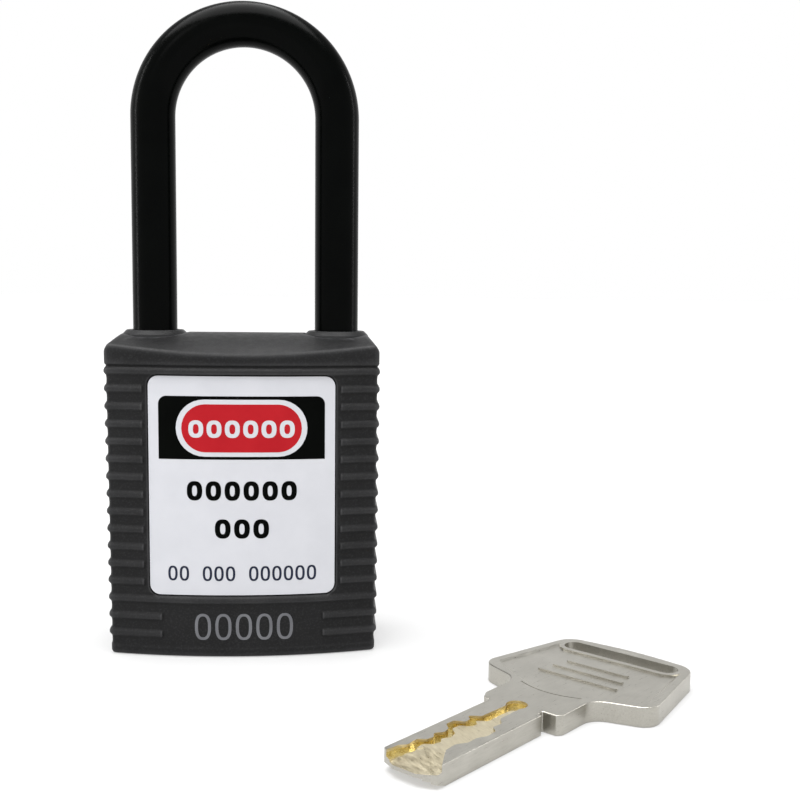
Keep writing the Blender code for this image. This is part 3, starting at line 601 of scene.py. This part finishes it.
def body_surface():
    """Rings from the foot's rounded edge up the sides, over the top edge and across the dome."""
    rings = []

    def add(points, z):
        rings.append(np.column_stack([points, z]))

    foot, edge, steps = 0.55 * MM, 0.45 * MM, 5
    for a in quarter_turn(steps)[:-1]:
        ring = body_ring(foot * (1 - math.cos(a)))
        depth = FOOT_DEPTH + foot * (1 - math.sin(a))
        z = np.full(len(ring), foot * (1 - math.cos(a)))
        add(ring[:, :2] - ring[:, 2:] * depth, z)
    last, coarse, fine = RIB_TOP + 0.55 * MM, 0.25 * MM, 0.155 * MM
    heights = np.concatenate([np.arange(foot, 1.3 * MM, coarse),
                              np.arange(1.35 * MM, last, fine)])
    for z in heights:
        ring = body_ring(z)
        level = np.full(len(ring), z)
        depth = body_inset(ring[:, 0], level)
        add(ring[:, :2] - ring[:, 2:] * depth[:, None], level)
    ring = body_ring(42 * MM)
    wall = ring[:, :2] - ring[:, 2:] * 0.1 * MM  # the top band's face
    start_z = heights[-1]
    for k in range(1, 4):
        top = top_height(wall[:, 0], wall[:, 1]) - edge
        add(wall, start_z + (top - start_z) * k / 3)
    for a in quarter_turn(7)[1:]:
        moved = wall - ring[:, 2:] * edge * (1 - math.cos(a))
        add(moved, top_height(moved[:, 0], moved[:, 1]) - edge * (1 - math.sin(a)))
    spine = HALF_W_TOP - HALF_D_TOP
    rim = rings[-1][:, :2]
    middle = np.column_stack([np.clip(rim[:, 0], -spine, spine), np.zeros(len(rim))])
    for t in list(np.linspace(0, 0.24, 9)[1:]) + list(np.linspace(0.3, 0.97, 12)):
        moved = rim * (1 - t) + middle * t
        add(moved, top_height(moved[:, 0], moved[:, 1]))
    verts = np.concatenate(rings)
    bm = bm_from(verts, ring_faces(len(rings), len(ring)))
    bmesh.ops.triangulate(bm, faces=[f for f in bm.faces if len(f.verts) > 4])
    return bm


def cover_outline(grow=0.0, steps=8):
    """A bar with rounded ends joined to a disc round the cylinder."""
    w = (cover_hi.x - cover_lo.x) / 2 + grow
    r = (cover_hi.y - cover_lo.y) / 2 + grow
    bar, corner = 5.2 * MM + grow, 1.6 * MM + grow
    start = math.asin(bar / r)
    quarter = [(w - corner + corner * math.cos(a), bar - corner + corner * math.sin(a))
               for a in quarter_turn(steps)]
    for k in range(2 * steps + 1):
        a = start + (math.pi / 2 - start) * k / (2 * steps)
        quarter.append((r * math.cos(a), r * math.sin(a)))
    top = quarter + [(-x, y) for x, y in reversed(quarter[:-1])]
    return top + [(-x, -y) for x, y in top]


def build_body():
    """The moulded shell, opened for the collars, the legs and everything inside."""
    shell = to_object("body_skin", body_surface(), [NYLON])
    below, above = -5 * MM, BODY_H + 5 * MM
    pin_z, pin_r = (pin_lo.z + pin_hi.z) / 2, (pin_hi.z - pin_lo.z) / 2 + 0.2 * MM
    reach = BALL_X + BALL_R
    cuts = [
        *(move(cylinder(COLLAR_R + MOAT, COLLAR_SEAT, above, 72), x) for x in (LEG_X, -LEG_X)),
        move(cylinder(BORE_R, spring_lo.z - GAP, above), LEG_X),
        move(cylinder(BORE_R, TOE_Z - GAP, above), -LEG_X),
        cylinder(CAGE_R + GAP, below, cage_hi.z + 0.4 * MM),
        move(along_x(cylinder(BALL_R + GAP, -reach, reach, 32)), z=BALL_Z),
        prism(cover_outline(0.2 * MM), below, cover_hi.z + GAP),
        move(along_x(cylinder(pin_r, 6 * MM, pin_hi.x - L.x + GAP, 24)), z=pin_z),
        *(move(cylinder(SCREW_HOLE_R, 0.0, screw_hi.z + GAP, 24), x) for x in (LEG_X, -LEG_X)),
    ]
    for bm in cuts:
        cut(shell, [(bm, None)])
    shell.data.materials.append(NYLON_FLAT)
    for face in shell.data.polygons:
        if face.normal.z < -0.95:  # the underside has no ribs
            face.material_index = 1
    crisp(shell, SHARP_ANGLE)
    finish_piece(shell, "lock_body", ["body_shell"])


def build_collar(name, side):
    """The raised rim round one leg, with a fine moat between it and the dome."""
    lip = 0.62 * MM
    profile = round_corners([(BORE_R, COLLAR_SEAT, 0), (COLLAR_R, COLLAR_SEAT, 0),
                             (COLLAR_R, COLLAR_TOP - lip, 0.25 * MM),
                             (COLLAR_R - lip, COLLAR_TOP, 0.3 * MM),
                             (BORE_R, COLLAR_TOP, 0.15 * MM)], 5)
    rim = to_object(name, turned(profile, 96), [NYLON])
    finish_piece(rim, "lock_body", at=L + Vector((side * LEG_X, 0, 0)))


# ---- underside and lock plug

def build_cover():
    """The cover plate: rounded edges, two sunk screw seats and the hole round the plug."""
    edge, above = 0.22 * MM, cover_hi.z + 5 * MM
    mouth_r, hole_r = 6.6 * MM, 6.2 * MM
    plate = to_object("cover_plate", soft_prism(cover_outline(), cover_lo.z, cover_hi.z, edge),
                      [NYLON_FLAT])
    hole = rounded_profile([(0.0, -MM, 0), (mouth_r, -MM, 0), (mouth_r, -0.1 * MM, 0),
                            (hole_r, 0.3 * MM, 0.2 * MM), (hole_r, above, 0), (0.0, above, 0)])
    head_r, seat = (screw_hi.x - screw_lo.x) / 2 + GAP, 1.5 * MM
    rim_r = head_r + 0.3 * MM
    cut(plate, [(turned(hole, 96), NYLON_FLAT)])
    for side in (-1, 1):
        sink = rounded_profile([(0.0, -MM, 0), (rim_r, -MM, 0), (rim_r, -0.1 * MM, 0),
                                (head_r, 0.25 * MM, 0.1 * MM), (head_r, seat, 0),
                                (SCREW_HOLE_R, seat, 0), (SCREW_HOLE_R, above, 0), (0.0, above, 0)])
        cut(plate, [(move(turned(sink, 48), side * LEG_X), NYLON_FLAT)])
    crisp(plate)
    finish_piece(plate, "lock_body", ["bottom_cover"])


def build_screw(name, node, side):
    """A cross-recessed screw: domed head, shank and a blunt point."""
    r, low, top = (screw_hi.x - screw_lo.x) / 2, screw_lo.z, screw_hi.z
    shank_r, under = 0.8 * MM, low + 0.9 * MM
    profile = rounded_profile([(0.0, low, 0), (r - 0.15 * MM, low + 0.02 * MM, 0.2 * MM),
                               (r, low + 0.3 * MM, 0.2 * MM), (r, under, 0.08 * MM),
                               (shank_r, under, 0), (shank_r, top - 0.7 * MM, 0.2 * MM),
                               (0.3 * MM, top, 0.1 * MM), (0.0, top, 0)])
    screw = to_object(name, turned(profile, 48), [STEEL])
    arm, half = 0.95 * MM, 0.17 * MM
    for w, d in ((arm, half), (half, arm)):
        slot = rounded_box(-w, w, -d, d, 0.12 * MM, 3)
        cut(screw, [(prism(slot, low - MM, low + 0.5 * MM), STEEL)])
    crisp(screw)
    finish_piece(screw, "lock_body", [node], L + Vector((side * LEG_X, 0, 0)))


def box_prism(x0, x1, y0, y1, z0, z1):
    return prism([(x0, y0), (x1, y0), (x1, y1), (x0, y1)], z0, z1)


def build_plug():
    """The turned plug: rounded flange, keyway with a bevelled mouth, and the wafers' slots."""
    low, top = plug_lo.z, plug_hi.z
    flange_r = (plug_hi.x - plug_lo.x) / 2
    barrel_r, boss_r, groove_r = 5.2 * MM, 3.2 * MM, 2.6 * MM
    flange_z, barrel_z, groove_z0, groove_z1 = 2.0 * MM, 24.7 * MM, 25.0 * MM, 26.4 * MM
    profile = rounded_profile([
        (0.0, low, 0), (flange_r, low, 0.35 * MM), (flange_r, flange_z, 0.1 * MM),
        (barrel_r, flange_z, 0), (barrel_r, barrel_z, 0.2 * MM), (boss_r, barrel_z, 0),
        (boss_r, groove_z0, 0), (groove_r, groove_z0, 0), (groove_r, groove_z1, 0),
        (boss_r, groove_z1, 0), (boss_r, top, 0.2 * MM), (0.0, top, 0)])
    plug = to_object("plug_barrel", turned(profile, 80), [BRASS])
    half_w, half_t = 3.95 * MM, 1.45 * MM
    keyway = rounded_box(-half_w, half_w, -half_t, half_t, 0.3 * MM, 4)
    bevel, keyway_top = 0.3 * MM, 21.5 * MM
    wide = inset(keyway, -bevel)
    levels = ((wide, low - MM), (wide, low), (keyway, low + bevel), (keyway, keyway_top))
    verts = [(x, y, z) for outline, z in levels for x, y in outline]
    cuts = [bm_from(verts, ring_faces(len(levels), len(keyway)))]
    play = 0.25 * MM
    for k in range(1, 7):
        wafer_lo, wafer_hi = (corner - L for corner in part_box("wafer_%d" % k))
        spring_x = (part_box("wafer_spring_%d" % k)[1] - L).x + GAP
        z0, z1 = wafer_lo.z - play, wafer_hi.z + play
        cuts.append(box_prism(-6.5 * MM, 6.5 * MM, wafer_lo.y - play, play - wafer_lo.y, z0, z1))
        cuts.append(box_prism(-2.85 * MM, spring_x, 0.0, wafer_hi.y + play, z0, z1))
    tongue = 0.95 * MM
    cuts.append(box_prism(-barrel_r, barrel_r, -tongue, tongue, 27.0 * MM, top + MM))
    for bm in cuts:
        cut(plug, [(bm, BRASS)])
    crisp(plug)
    finish_piece(plug, "plug", ["cylinder_plug"])


# ---- label and number

def curved_patch(x0, x1, z0, z1, radius, face, out, thick, square_foot=False):
    """A rounded rectangle that lies on the curved front (face -1) or back (face 1).
    out is how far its visible face stands inside the body's envelope."""
    radius = min(radius, (x1 - x0) / 2, (z1 - z0) / 2)
    xs = set(np.round(np.linspace(x0, x1, max(3, int((x1 - x0) / (0.8 * MM)) + 2)), 8))
    for a in quarter_turn(8):
        run = radius * (1 - math.cos(a))
        xs |= {round(x0 + run, 8), round(x1 - run, 8)}
    verts = []
    xs = sorted(xs)
    for depth in (out, out + thick):
        for low in (True, False):
            for x in xs:
                run = min(x - x0, x1 - x, radius)
                drop = radius - math.sqrt(max(0.0, radius ** 2 - (radius - run) ** 2))
                z = z0 + (0.0 if square_foot else drop) if low else z1 - drop
                verts.append((x, face * (half_depth(x, z) - depth), z))
    n = len(xs)
    faces = []
    for k in range(n - 1):
        faces.append((k, k + 1, n + k + 1, n + k))
        faces.append((2 * n + k, 3 * n + k, 3 * n + k + 1, 2 * n + k + 1))
        faces.append((k, 2 * n + k, 2 * n + k + 1, k + 1))
        faces.append((n + k, n + k + 1, 3 * n + k + 1, 3 * n + k))
    faces.append((0, n, 3 * n, 2 * n))
    faces.append((n - 1, 3 * n - 1, 4 * n - 1, 2 * n - 1))
    bm = bm_from(verts, faces)
    weld(bm, 1e-8)
    return bm


def join(parts):
    """Several bmeshes as one."""
    whole = bmesh.new()
    for bm in parts:
        mesh = bpy.data.meshes.new("scratch")
        bmesh.ops.recalc_face_normals(bm, faces=bm.faces)
        bm.to_mesh(mesh)
        bm.free()
        whole.from_mesh(mesh)
        bpy.data.meshes.remove(mesh)
    return whole


def nought(cx, cz, half_w, half_h, stroke, face, out, thick, steps=40):
    """One printed 0: a squarish oval ring that follows the curved front or back."""
    verts = []
    square = 0.8  # 1 would be an ellipse
    for depth in (out, out + thick):
        for shrink in (0.0, stroke):
            for j in range(steps):
                a = 2 * math.pi * j / steps
                c, s = math.cos(a), math.sin(a)
                x = cx + (half_w - shrink) * math.copysign(abs(c) ** square, c)
                z = cz + (half_h - shrink * 0.85) * math.copysign(abs(s) ** square, s)
                verts.append((x, face * (half_depth(x, z) - depth), z))
    faces = []
    for j in range(steps):
        n = (j + 1) % steps
        a, b, c, d = 0, steps, 2 * steps, 3 * steps
        faces += [(a + j, a + n, b + n, b + j), (c + j, d + j, d + n, c + n),
                  (a + j, c + j, c + n, a + n), (b + j, b + n, d + n, d + j)]
    return bm_from(verts, faces)


def digits(pattern, half_span, z0, z1, stroke, face, out, thick):
    """A centred row of printed noughts (0) and gaps (-), between heights z0 and z1, in mm."""
    pitch = 2 * half_span / len(pattern)
    fill = 0.41  # a nought's half width, as a share of the pitch
    parts = []
    for k, sign in enumerate(pattern):
        if sign == "0":
            cx = -half_span + pitch * (k + 0.5)
            parts.append(nought(cx * MM, LABEL_Z0 + (z0 + z1) / 2 * MM, pitch * fill * MM,
                                (z1 - z0) / 2 * MM, stroke * MM, face, out, thick))
    return parts


def build_label(side, face, node):
    """The sheet and its inks, each ink a thin layer on the one below."""
    sheet_out = RIB_PROUD + 0.05 * MM
    sheet = to_object(side + "_label_sheet",
                      curved_patch(-LABEL_W / 2, LABEL_W / 2, LABEL_Z0, LABEL_Z1, 1.4 * MM, face,
                                   sheet_out, 0.2 * MM), [VINYL])
    finish_piece(sheet, "lock_body", [node])

    def patch(half_w, z0, z1, radius, level, square_foot=False):
        """A printed patch, in mm up from the sheet's lower edge."""
        half_w, z0, z1, radius = (value * MM for value in (half_w, z0, z1, radius))
        return [curved_patch(-half_w, half_w, LABEL_Z0 + z0, LABEL_Z0 + z1, radius, face,
                             sheet_out - INK * level, INK * 1.5, square_foot)]

    def row(pattern, half_span, z0, z1, stroke, level):
        """A row of noughts, in mm up from the sheet's lower edge."""
        return digits(pattern, half_span, z0, z1, stroke, face, sheet_out - INK * level, INK * 1.5)

    layers = [
        ("band", INK_BLACK, patch(11.35, 19.0, 27.7, 1.1, 1, True)),
        ("pill_edge", VINYL, patch(8.95, 19.4, 27.25, 3.9, 2)),
        ("pill", INK_RED, patch(8.2, 20.0, 26.6, 3.3, 3)),
        ("header", VINYL, row("000000", 7.45, 22.0, 24.4, 0.62, 4)),
        ("text", INK_BLACK, row("000000", 7.75, 13.3, 16.0, 0.72, 1)
         + row("000", 3.95, 8.0, 10.7, 0.72, 1)),
        ("foot", INK_NAVY, row("00-000-000000", 10.35, 2.0, 4.1, 0.33, 1)),
    ]
    for tag, mat, parts in layers:
        item = to_object("%s_label_%s" % (side, tag), join(parts), [mat])
        finish_piece(item, "lock_body")


def build_number():
    """A generic row of noughts printed low on the front."""
    first_x, pitch, z = -5.45 * MM, 2.83 * MM, 4.33 * MM
    half_w, half_h, stroke = 1.12 * MM, 1.86 * MM, 0.42 * MM
    out, thick = RIB_PROUD - 0.03 * MM, 0.05 * MM
    parts = [nought(first_x + pitch * k, z, half_w, half_h, stroke, -1, out, thick)
             for k in range(5)]
    item = to_object("front_number", join(parts), [INK_GREY])
    finish_piece(item, "lock_body")


# ---- shackle

def build_shackle():
    """The bar: heel leg with its turned neck, arch, toe leg, and a notch for each ball."""
    tip, end_steps, arch_steps, rings = 0.7 * MM, 5, 72, 14
    up, down = Vector((0, 0, 1)), Vector((0, 0, -1))
    path = [(HEEL_Z + tip * (1 - math.cos(a)), LEG_R - tip * (1 - math.sin(a)))
            for a in quarter_turn(end_steps)]
    path += [(NECK_Z0, LEG_R), (NECK_Z0 + 0.12 * MM, NECK_R), (NECK_Z1 - 0.5 * MM, NECK_R),
             (NECK_Z1, LEG_R)]
    path += [(z, LEG_R) for z in np.linspace(36 * MM, ARCH_Z, rings)]
    points = [(Vector((LEG_X, 0, z)), up, r) for z, r in path]
    for k in range(1, arch_steps):
        a = math.pi * k / arch_steps
        points.append((Vector((LEG_X * math.cos(a), 0, ARCH_Z + LEG_X * math.sin(a))),
                       Vector((-math.sin(a), 0, math.cos(a))), LEG_R))
    toe = [(z, LEG_R) for z in np.linspace(ARCH_Z, TOE_Z + tip + 0.5 * MM, rings)]
    for k in range(end_steps + 1):
        a = math.pi / 2 * (1 - k / end_steps)
        toe.append((TOE_Z + tip * (1 - math.cos(a)), LEG_R - tip * (1 - math.sin(a))))
    points += [(Vector((-LEG_X, 0, z)), down, r) for z, r in toe]
    bar = to_object("shackle_bar", sweep(points, 72), [SHACKLE])
    cut(bar, [(ball_ramp(side), None) for side in (1.0, -1.0)])
    finish_piece(bar, "shackle", ["shackle"])


def ball_ramp(side):
    """The notch a ball leaves free while the shackle rises and the ball draws back."""
    start = Vector((side * BALL_X, 0, BALL_Z))
    share = 0.55  # past this share of its travel the ball is clear
    end = start - Vector((side * BALL_TRAVEL, 0, LIFT)) * share
    along = (end - start).normalized()
    r = BALL_R + 0.25 * MM
    path, steps = [], 8
    for k in range(steps + 1):
        a = math.radians(5 + 85 * k / steps)
        path.append((start - along * r * math.cos(a), along, r * math.sin(a)))
    for k in range(1, steps + 1):
        a = math.radians(90 - 85 * k / steps)
        path.append((end + along * r * math.cos(a), along, r * math.sin(a)))
    return sweep(path, 40)


# ---- key

def in_mm(corners):
    """An outline from corners (x, y, radius) written in mm."""
    return round_corners([(x * MM, y * MM, r * MM) for x, y, r in corners], 8)


def key_outline():
    """Tip, blade, shoulders (a notch on the near side) and the two-lobed bow."""
    near = [(0.0, -1.6, 0.5), (1.0, -3.75, 0.4), (20.0, -3.75, 0.2), (20.0, -3.15, 0.2),
            (20.95, -3.15, 0.2), (20.95, -5.1, 0.25), (21.7, -5.6, 0.4), (28.0, -5.6, 2.6),
            (30.4, -12.6, 2.3), (46.6, -9.6, 3.0), (47.5, 0.0, 40.0)]
    far = [(46.6, 9.6, 3.0), (30.4, 12.6, 2.3), (28.0, 5.6, 2.6), (21.5, 5.5, 1.0),
           (20.2, 4.8, 0.3), (20.0, 3.75, 0.2), (1.0, 3.75, 0.4), (0.0, 1.6, 0.5)]
    return in_mm(near + far)


def slot_outline(grow=0.0, steps=14):
    """The long slot across the bow."""
    x, half_l, half_w = 44.0 * MM, 8.4 * MM, 1.5 * MM
    points = []
    for end in (1, -1):
        for k in range(steps + 1):
            a = math.pi * k / steps + (0 if end == 1 else math.pi)
            points.append((x + (half_w + grow) * math.cos(a),
                           end * (half_l - half_w) + (half_w + grow) * math.sin(a)))
    return points


def wavy(stations, steps=8):
    """A smooth line through given stations (x, y in mm), easing in and out at each."""
    points = []
    for (x0, y0), (x1, y1) in zip(stations, stations[1:]):
        for k in range(steps):
            t = k / steps
            e = t * t * (3 - 2 * t)
            points.append(((x0 + (x1 - x0) * t) * MM, (y0 + (y1 - y0) * e) * MM))
    return points + [(stations[-1][0] * MM, stations[-1][1] * MM)]


def track_walls():
    """The far and near edges of the milled pocket, from the tip to its round end."""
    far = wavy([(-1.0, 3.3), (2.3, 2.9), (3.4, 2.3), (4.9, 2.45), (5.9, 1.6), (6.6, 1.5),
                (7.5, 2.05), (8.6, 1.5), (9.4, 1.7), (10.6, 2.75), (11.6, 2.7), (12.6, 1.55),
                (13.2, 1.6), (14.0, 2.25), (15.2, 1.15), (19.4, 1.05)])
    near = wavy([(4.6, -1.7), (6.6, -1.55), (8.2, -2.25), (9.5, -2.2), (11.0, -2.75),
                 (12.4, -2.65), (13.4, -1.7), (14.6, -1.8), (16.0, -0.85), (19.6, -0.8)])
    return far, near


def track_end(r, steps=16):
    """The round end of the milled track, from its far side to its near side."""
    x, y = 20.6 * MM, 0.22 * MM
    angles = [math.radians(125 - 250 * k / steps) for k in range(steps + 1)]
    return [(x + r * math.cos(a), y + r * math.sin(a)) for a in angles]


def pocket_outline():
    """The whole milled pocket: wavy far wall, round end, ragged near edge, open at the tip."""
    far, near = track_walls()
    return far + track_end(1.3 * MM) + near[::-1] + [(3.2 * MM, -1.2 * MM), (-1.0 * MM, -1.2 * MM)]


def groove_outline():
    """The deeper groove at the foot of the far wall, and the round end."""
    far = track_walls()[0]
    inner = [(x, y - (0.95 + 0.1 * math.sin(x / MM)) * MM) for x, y in far]
    return far + track_end(1.26 * MM) + inner[::-1]


def ramp_outline():
    """The tip's sloped flat: from the tip's near corner to the pocket."""
    return [(x * MM, y * MM) for x, y in
            ((-1.0, 2.4), (-1.0, -4.6), (0.4, -4.6), (4.75, -1.75), (4.9, 0.4), (3.2, 2.0))]


def field_outline():
    """The sunk field of the bow, inside its raised rim."""
    return in_mm([(27.6, -3.6, 0.8), (29.2, -7.0, 2.2), (31.6, -11.2, 1.3), (45.7, -8.75, 2.0),
                  (46.35, 0.0, 40.0), (45.7, 8.75, 2.0), (31.6, 11.2, 1.3), (29.2, 7.0, 2.2),
                  (27.6, 3.6, 0.8), (26.9, 0.0, 9.0)])


def flip(bm):
    """Turn a cutter made for the upper face over to the lower face."""
    bmesh.ops.rotate(bm, verts=bm.verts, cent=(0, 0, KEY_T / 2),
                     matrix=Matrix.Rotation(math.pi, 3, "X"))
    return bm


def sloped_cut(outline, depth_at, top):
    """A cutter over an outline, whose floor follows depth_at(x): cut in strips, so it bends."""
    bm = prism(outline, KEY_T - MM, top)
    strip = 0.45
    for k in range(1, 12):
        bmesh.ops.bisect_plane(bm, geom=bm.verts[:] + bm.edges[:] + bm.faces[:],
                               plane_co=(k * strip * MM, 0, 0), plane_no=(1, 0, 0))
    for v in bm.verts:
        if v.co.z < KEY_T:
            v.co.z = KEY_T - depth_at(v.co.x)
    return bm


def field_cutter(depth):
    """The sunk field with gently sloped sides, less the slot's rim and a generic motif of bars."""
    rim, floor = field_outline(), inset(field_outline(), 0.4 * MM)
    levels = ((floor, KEY_T - depth), (rim, KEY_T), (rim, KEY_T + MM))
    verts = [(x, y, z) for outline, z in levels for x, y in outline]
    cutter = to_object("field_cutter", bm_from(verts, ring_faces(3, len(rim))), [NICKEL])
    standing = [prism(slot_outline(0.7 * MM), 0, KEY_T + 2 * MM)]
    first_x, pitch, half_w = 33.4, 2.5, 0.32 * MM
    for k in range(3):
        x, half_l = (first_x + pitch * k) * MM, (5.8 - 0.6 * k) * MM
        bar = rounded_box(x - half_w, x + half_w, -half_l, half_l, 0.3 * MM, 4)
        standing.append(prism(bar, 0, KEY_T - 0.02 * MM))
    for bm in standing:
        cut(cutter, [(bm, NICKEL)])
    bm = bmesh.new()
    bm.from_mesh(cutter.data)
    bpy.data.objects.remove(cutter, do_unlink=True)
    return bm


def neck_line():
    """A fine scribed arc across the neck, where the field begins."""
    outer, inner = [], []
    half, middle_x, bend, width, steps = 4.4, 26.5 * MM, 0.055, 0.16 * MM, 24
    for k in range(steps + 1):
        y = (-half + 2 * half * k / steps) * MM
        x = middle_x + bend * (y / MM) ** 2 * MM
        outer.append((x, y))
        inner.append((x - width, y))
    return outer + inner[::-1]


def underside_bevel():
    """The slope milled under the tip."""
    w, run, depth = 4.6 * MM, 2.6 * MM, 0.8 * MM
    verts = [(x, y, z) for y in (-w, w) for x, z in
             ((-MM, -MM), (run, -MM), (run, -0.02 * MM), (0.0, depth), (-MM, depth))]
    return bm_from(verts, ring_faces(2, 5))


def tip_slope(x):
    """Depth of the tip's slope at x: deepest at the tip, and above the pocket's floor at its end."""
    length, least, more = 4.9 * MM, 0.26, 0.8
    run = max(0.0, 1.0 - max(x, -0.5 * MM) / length)
    return (least + more * run) * MM


def build_key():
    """The blank, milled alike on both faces, with the neck line on the upper face and the bevel
    under the tip."""
    pocket, groove, scribe = 0.32 * MM, 0.78 * MM, 0.09 * MM
    blank = to_object("key_blank", soft_prism(key_outline(), 0.0, KEY_T, 0.14 * MM), [NICKEL])
    top = KEY_T + MM
    for turn_over in (False, True):
        cuts = [
            (prism(pocket_outline(), KEY_T - pocket, top), MILLED),
            (sloped_cut(ramp_outline(), tip_slope, top), MILLED),
            (field_cutter(0.24 * MM), NICKEL),
            (prism(groove_outline(), KEY_T - groove, top), KEY_BRASS),
        ]
        for bm, mat in cuts:
            cut(blank, [(flip(bm) if turn_over else bm, mat)])
    cut(blank, [(prism(slot_outline(), -MM, top), NICKEL)])
    cut(blank, [(prism(neck_line(), KEY_T - scribe, top), NICKEL)])
    cut(blank, [(underside_bevel(), MILLED)])
    blank.data.transform(Matrix.Rotation(KEY_TURN, 4, "Z"))
    crisp(blank)
    finish_piece(blank, "key", ["key"], key_tip())


def key_tip():
    """The tip's place: the turned outline's far corner is put on the CAD key's."""
    turn = Matrix.Rotation(KEY_TURN, 2)
    points = [turn @ Vector(p) for p in key_outline()]
    return Vector((key_hi.x - max(p.x for p in points), key_hi.y - max(p.y for p in points),
                   key_lo.z))


# ---- inner pieces keep their CAD shape

def finish_cad_nodes():
    finishes = {"cylinder_housing": BRASS, "ball_cage": ZINC, "tail_cam": ZINC}
    finishes.update({"wafer_%d" % k: BRASS for k in range(1, 7)})
    for name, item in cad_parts.items():
        mat = finishes.get(name, STEEL)
        item.data.materials.clear()
        item.data.materials.append(mat)


# ---- floor, light, camera

def build_stage():
    """A pale floor, glowing a little more away from the middle."""
    m = Nodes("floor_white")
    m.color(m.ramp(m.noise(6, 3.0), [(0.3, (0.29, 0.29, 0.29)), (0.7, (0.31, 0.31, 0.31))]))
    m.set(Roughness=0.8, Specular_IOR_Level=0.1, Emission_Color=(1, 1, 1, 1))
    length = m.tree.nodes.new("ShaderNodeVectorMath")
    length.operation = "LENGTH"
    m.link(m.coords, length, 0)
    glow = m.ramp(length.outputs["Value"], [(0.1, 0.44), (0.6, 0.8)])
    m.link(glow, m.shader, "Emission Strength")
    bm = bmesh.new()
    size = 6.0
    corners = [bm.verts.new((x, y, -0.02 * MM)) for x, y in
               ((-size, -size), (size, -size), (size, size), (-size, size))]
    bm.faces.new(corners)
    floor = to_object("floor", bm, [m.mat])


def build_world():
    """A pale studio: white round the horizon, dimmer overhead where the lamps are."""
    world = bpy.data.worlds.new("studio")
    bpy.context.scene.world = world
    world.use_nodes = True
    tree = world.node_tree
    coords = tree.nodes.new("ShaderNodeTexCoord")
    split = tree.nodes.new("ShaderNodeSeparateXYZ")
    ramp = tree.nodes.new("ShaderNodeValToRGB")
    tree.links.new(coords.outputs["Generated"], split.inputs["Vector"])
    tree.links.new(split.outputs["Z"], ramp.inputs["Fac"])
    horizon, overhead = ramp.color_ramp.elements
    horizon.position, horizon.color = 0.28, (1.0, 1.0, 1.0, 1.0)
    overhead.position, overhead.color = 0.65, (0.5, 0.5, 0.5, 1.0)
    background = tree.nodes["Background"]
    tree.links.new(ramp.outputs["Color"], background.inputs["Color"])
    background.inputs["Strength"].default_value = 1.0


def area_light(name, at, aim, power, size, size_y):
    """A rectangular lamp of size by size_y metres and power watts."""
    data = bpy.data.lights.new(name, "AREA")
    data.energy = power
    data.shape = "RECTANGLE"
    data.size = size
    data.size_y = size_y
    item = bpy.data.objects.new(name, data)
    item.location = at
    item.rotation_euler = (Vector(aim) - Vector(at)).to_track_quat("-Z", "Y").to_euler()
    bpy.context.scene.collection.objects.link(item)


def build_lights():
    aim = (0, 0, 0.04)
    area_light("top_light", (-0.06, -0.04, 0.65), aim, 10.5, 0.7, 0.7)
    area_light("front_light", (-0.3, -0.5, 0.45), aim, 0.2, 0.16, 0.16)
    area_light("strip_left", (-0.45, 0.02, 0.16), aim, 0.55, 0.03, 0.4)
    area_light("strip_right", (0.5, 0.1, 0.18), aim, 0.45, 0.03, 0.4)


def build_camera():
    """A camera nearly level with the lock's front, a little above it and to its right."""
    at = Vector((11.82, -159.4, 51.37)) * MM
    pitch, yaw, roll = math.radians(5.79), math.radians(3.74), 0.0104
    forward = Vector((math.sin(yaw) * math.cos(pitch), math.cos(yaw) * math.cos(pitch),
                      -math.sin(pitch)))
    right = Vector((math.cos(yaw), -math.sin(yaw), 0.0))
    up = right.cross(forward)
    tilted = right * math.cos(roll) + up * math.sin(roll)
    true_up = tilted.cross(forward)
    data = bpy.data.cameras.new("camera")
    data.sensor_width, data.lens = 36.0, 49.5
    data.clip_start, data.clip_end = 0.005, 20.0
    item = bpy.data.objects.new("camera", data)
    axes = Matrix((tilted, true_up, -forward)).transposed().to_4x4()
    item.matrix_world = Matrix.Translation(L + at) @ axes
    bpy.context.scene.collection.objects.link(item)
    bpy.context.scene.camera = item


build_stage()
build_world()
build_lights()
build_camera()
bpy.context.scene.view_settings.view_transform = "Standard"
finish_cad_nodes()
build_body()
build_collar("collar_heel", 1)
build_collar("collar_toe", -1)
build_cover()
build_screw("screw_heel", "cover_screw_heel", 1)
build_screw("screw_toe", "cover_screw_toe", -1)
build_plug()
build_label("front", -1, "front_label")
build_label("back", 1, "back_label")
build_number()
build_shackle()
build_key()
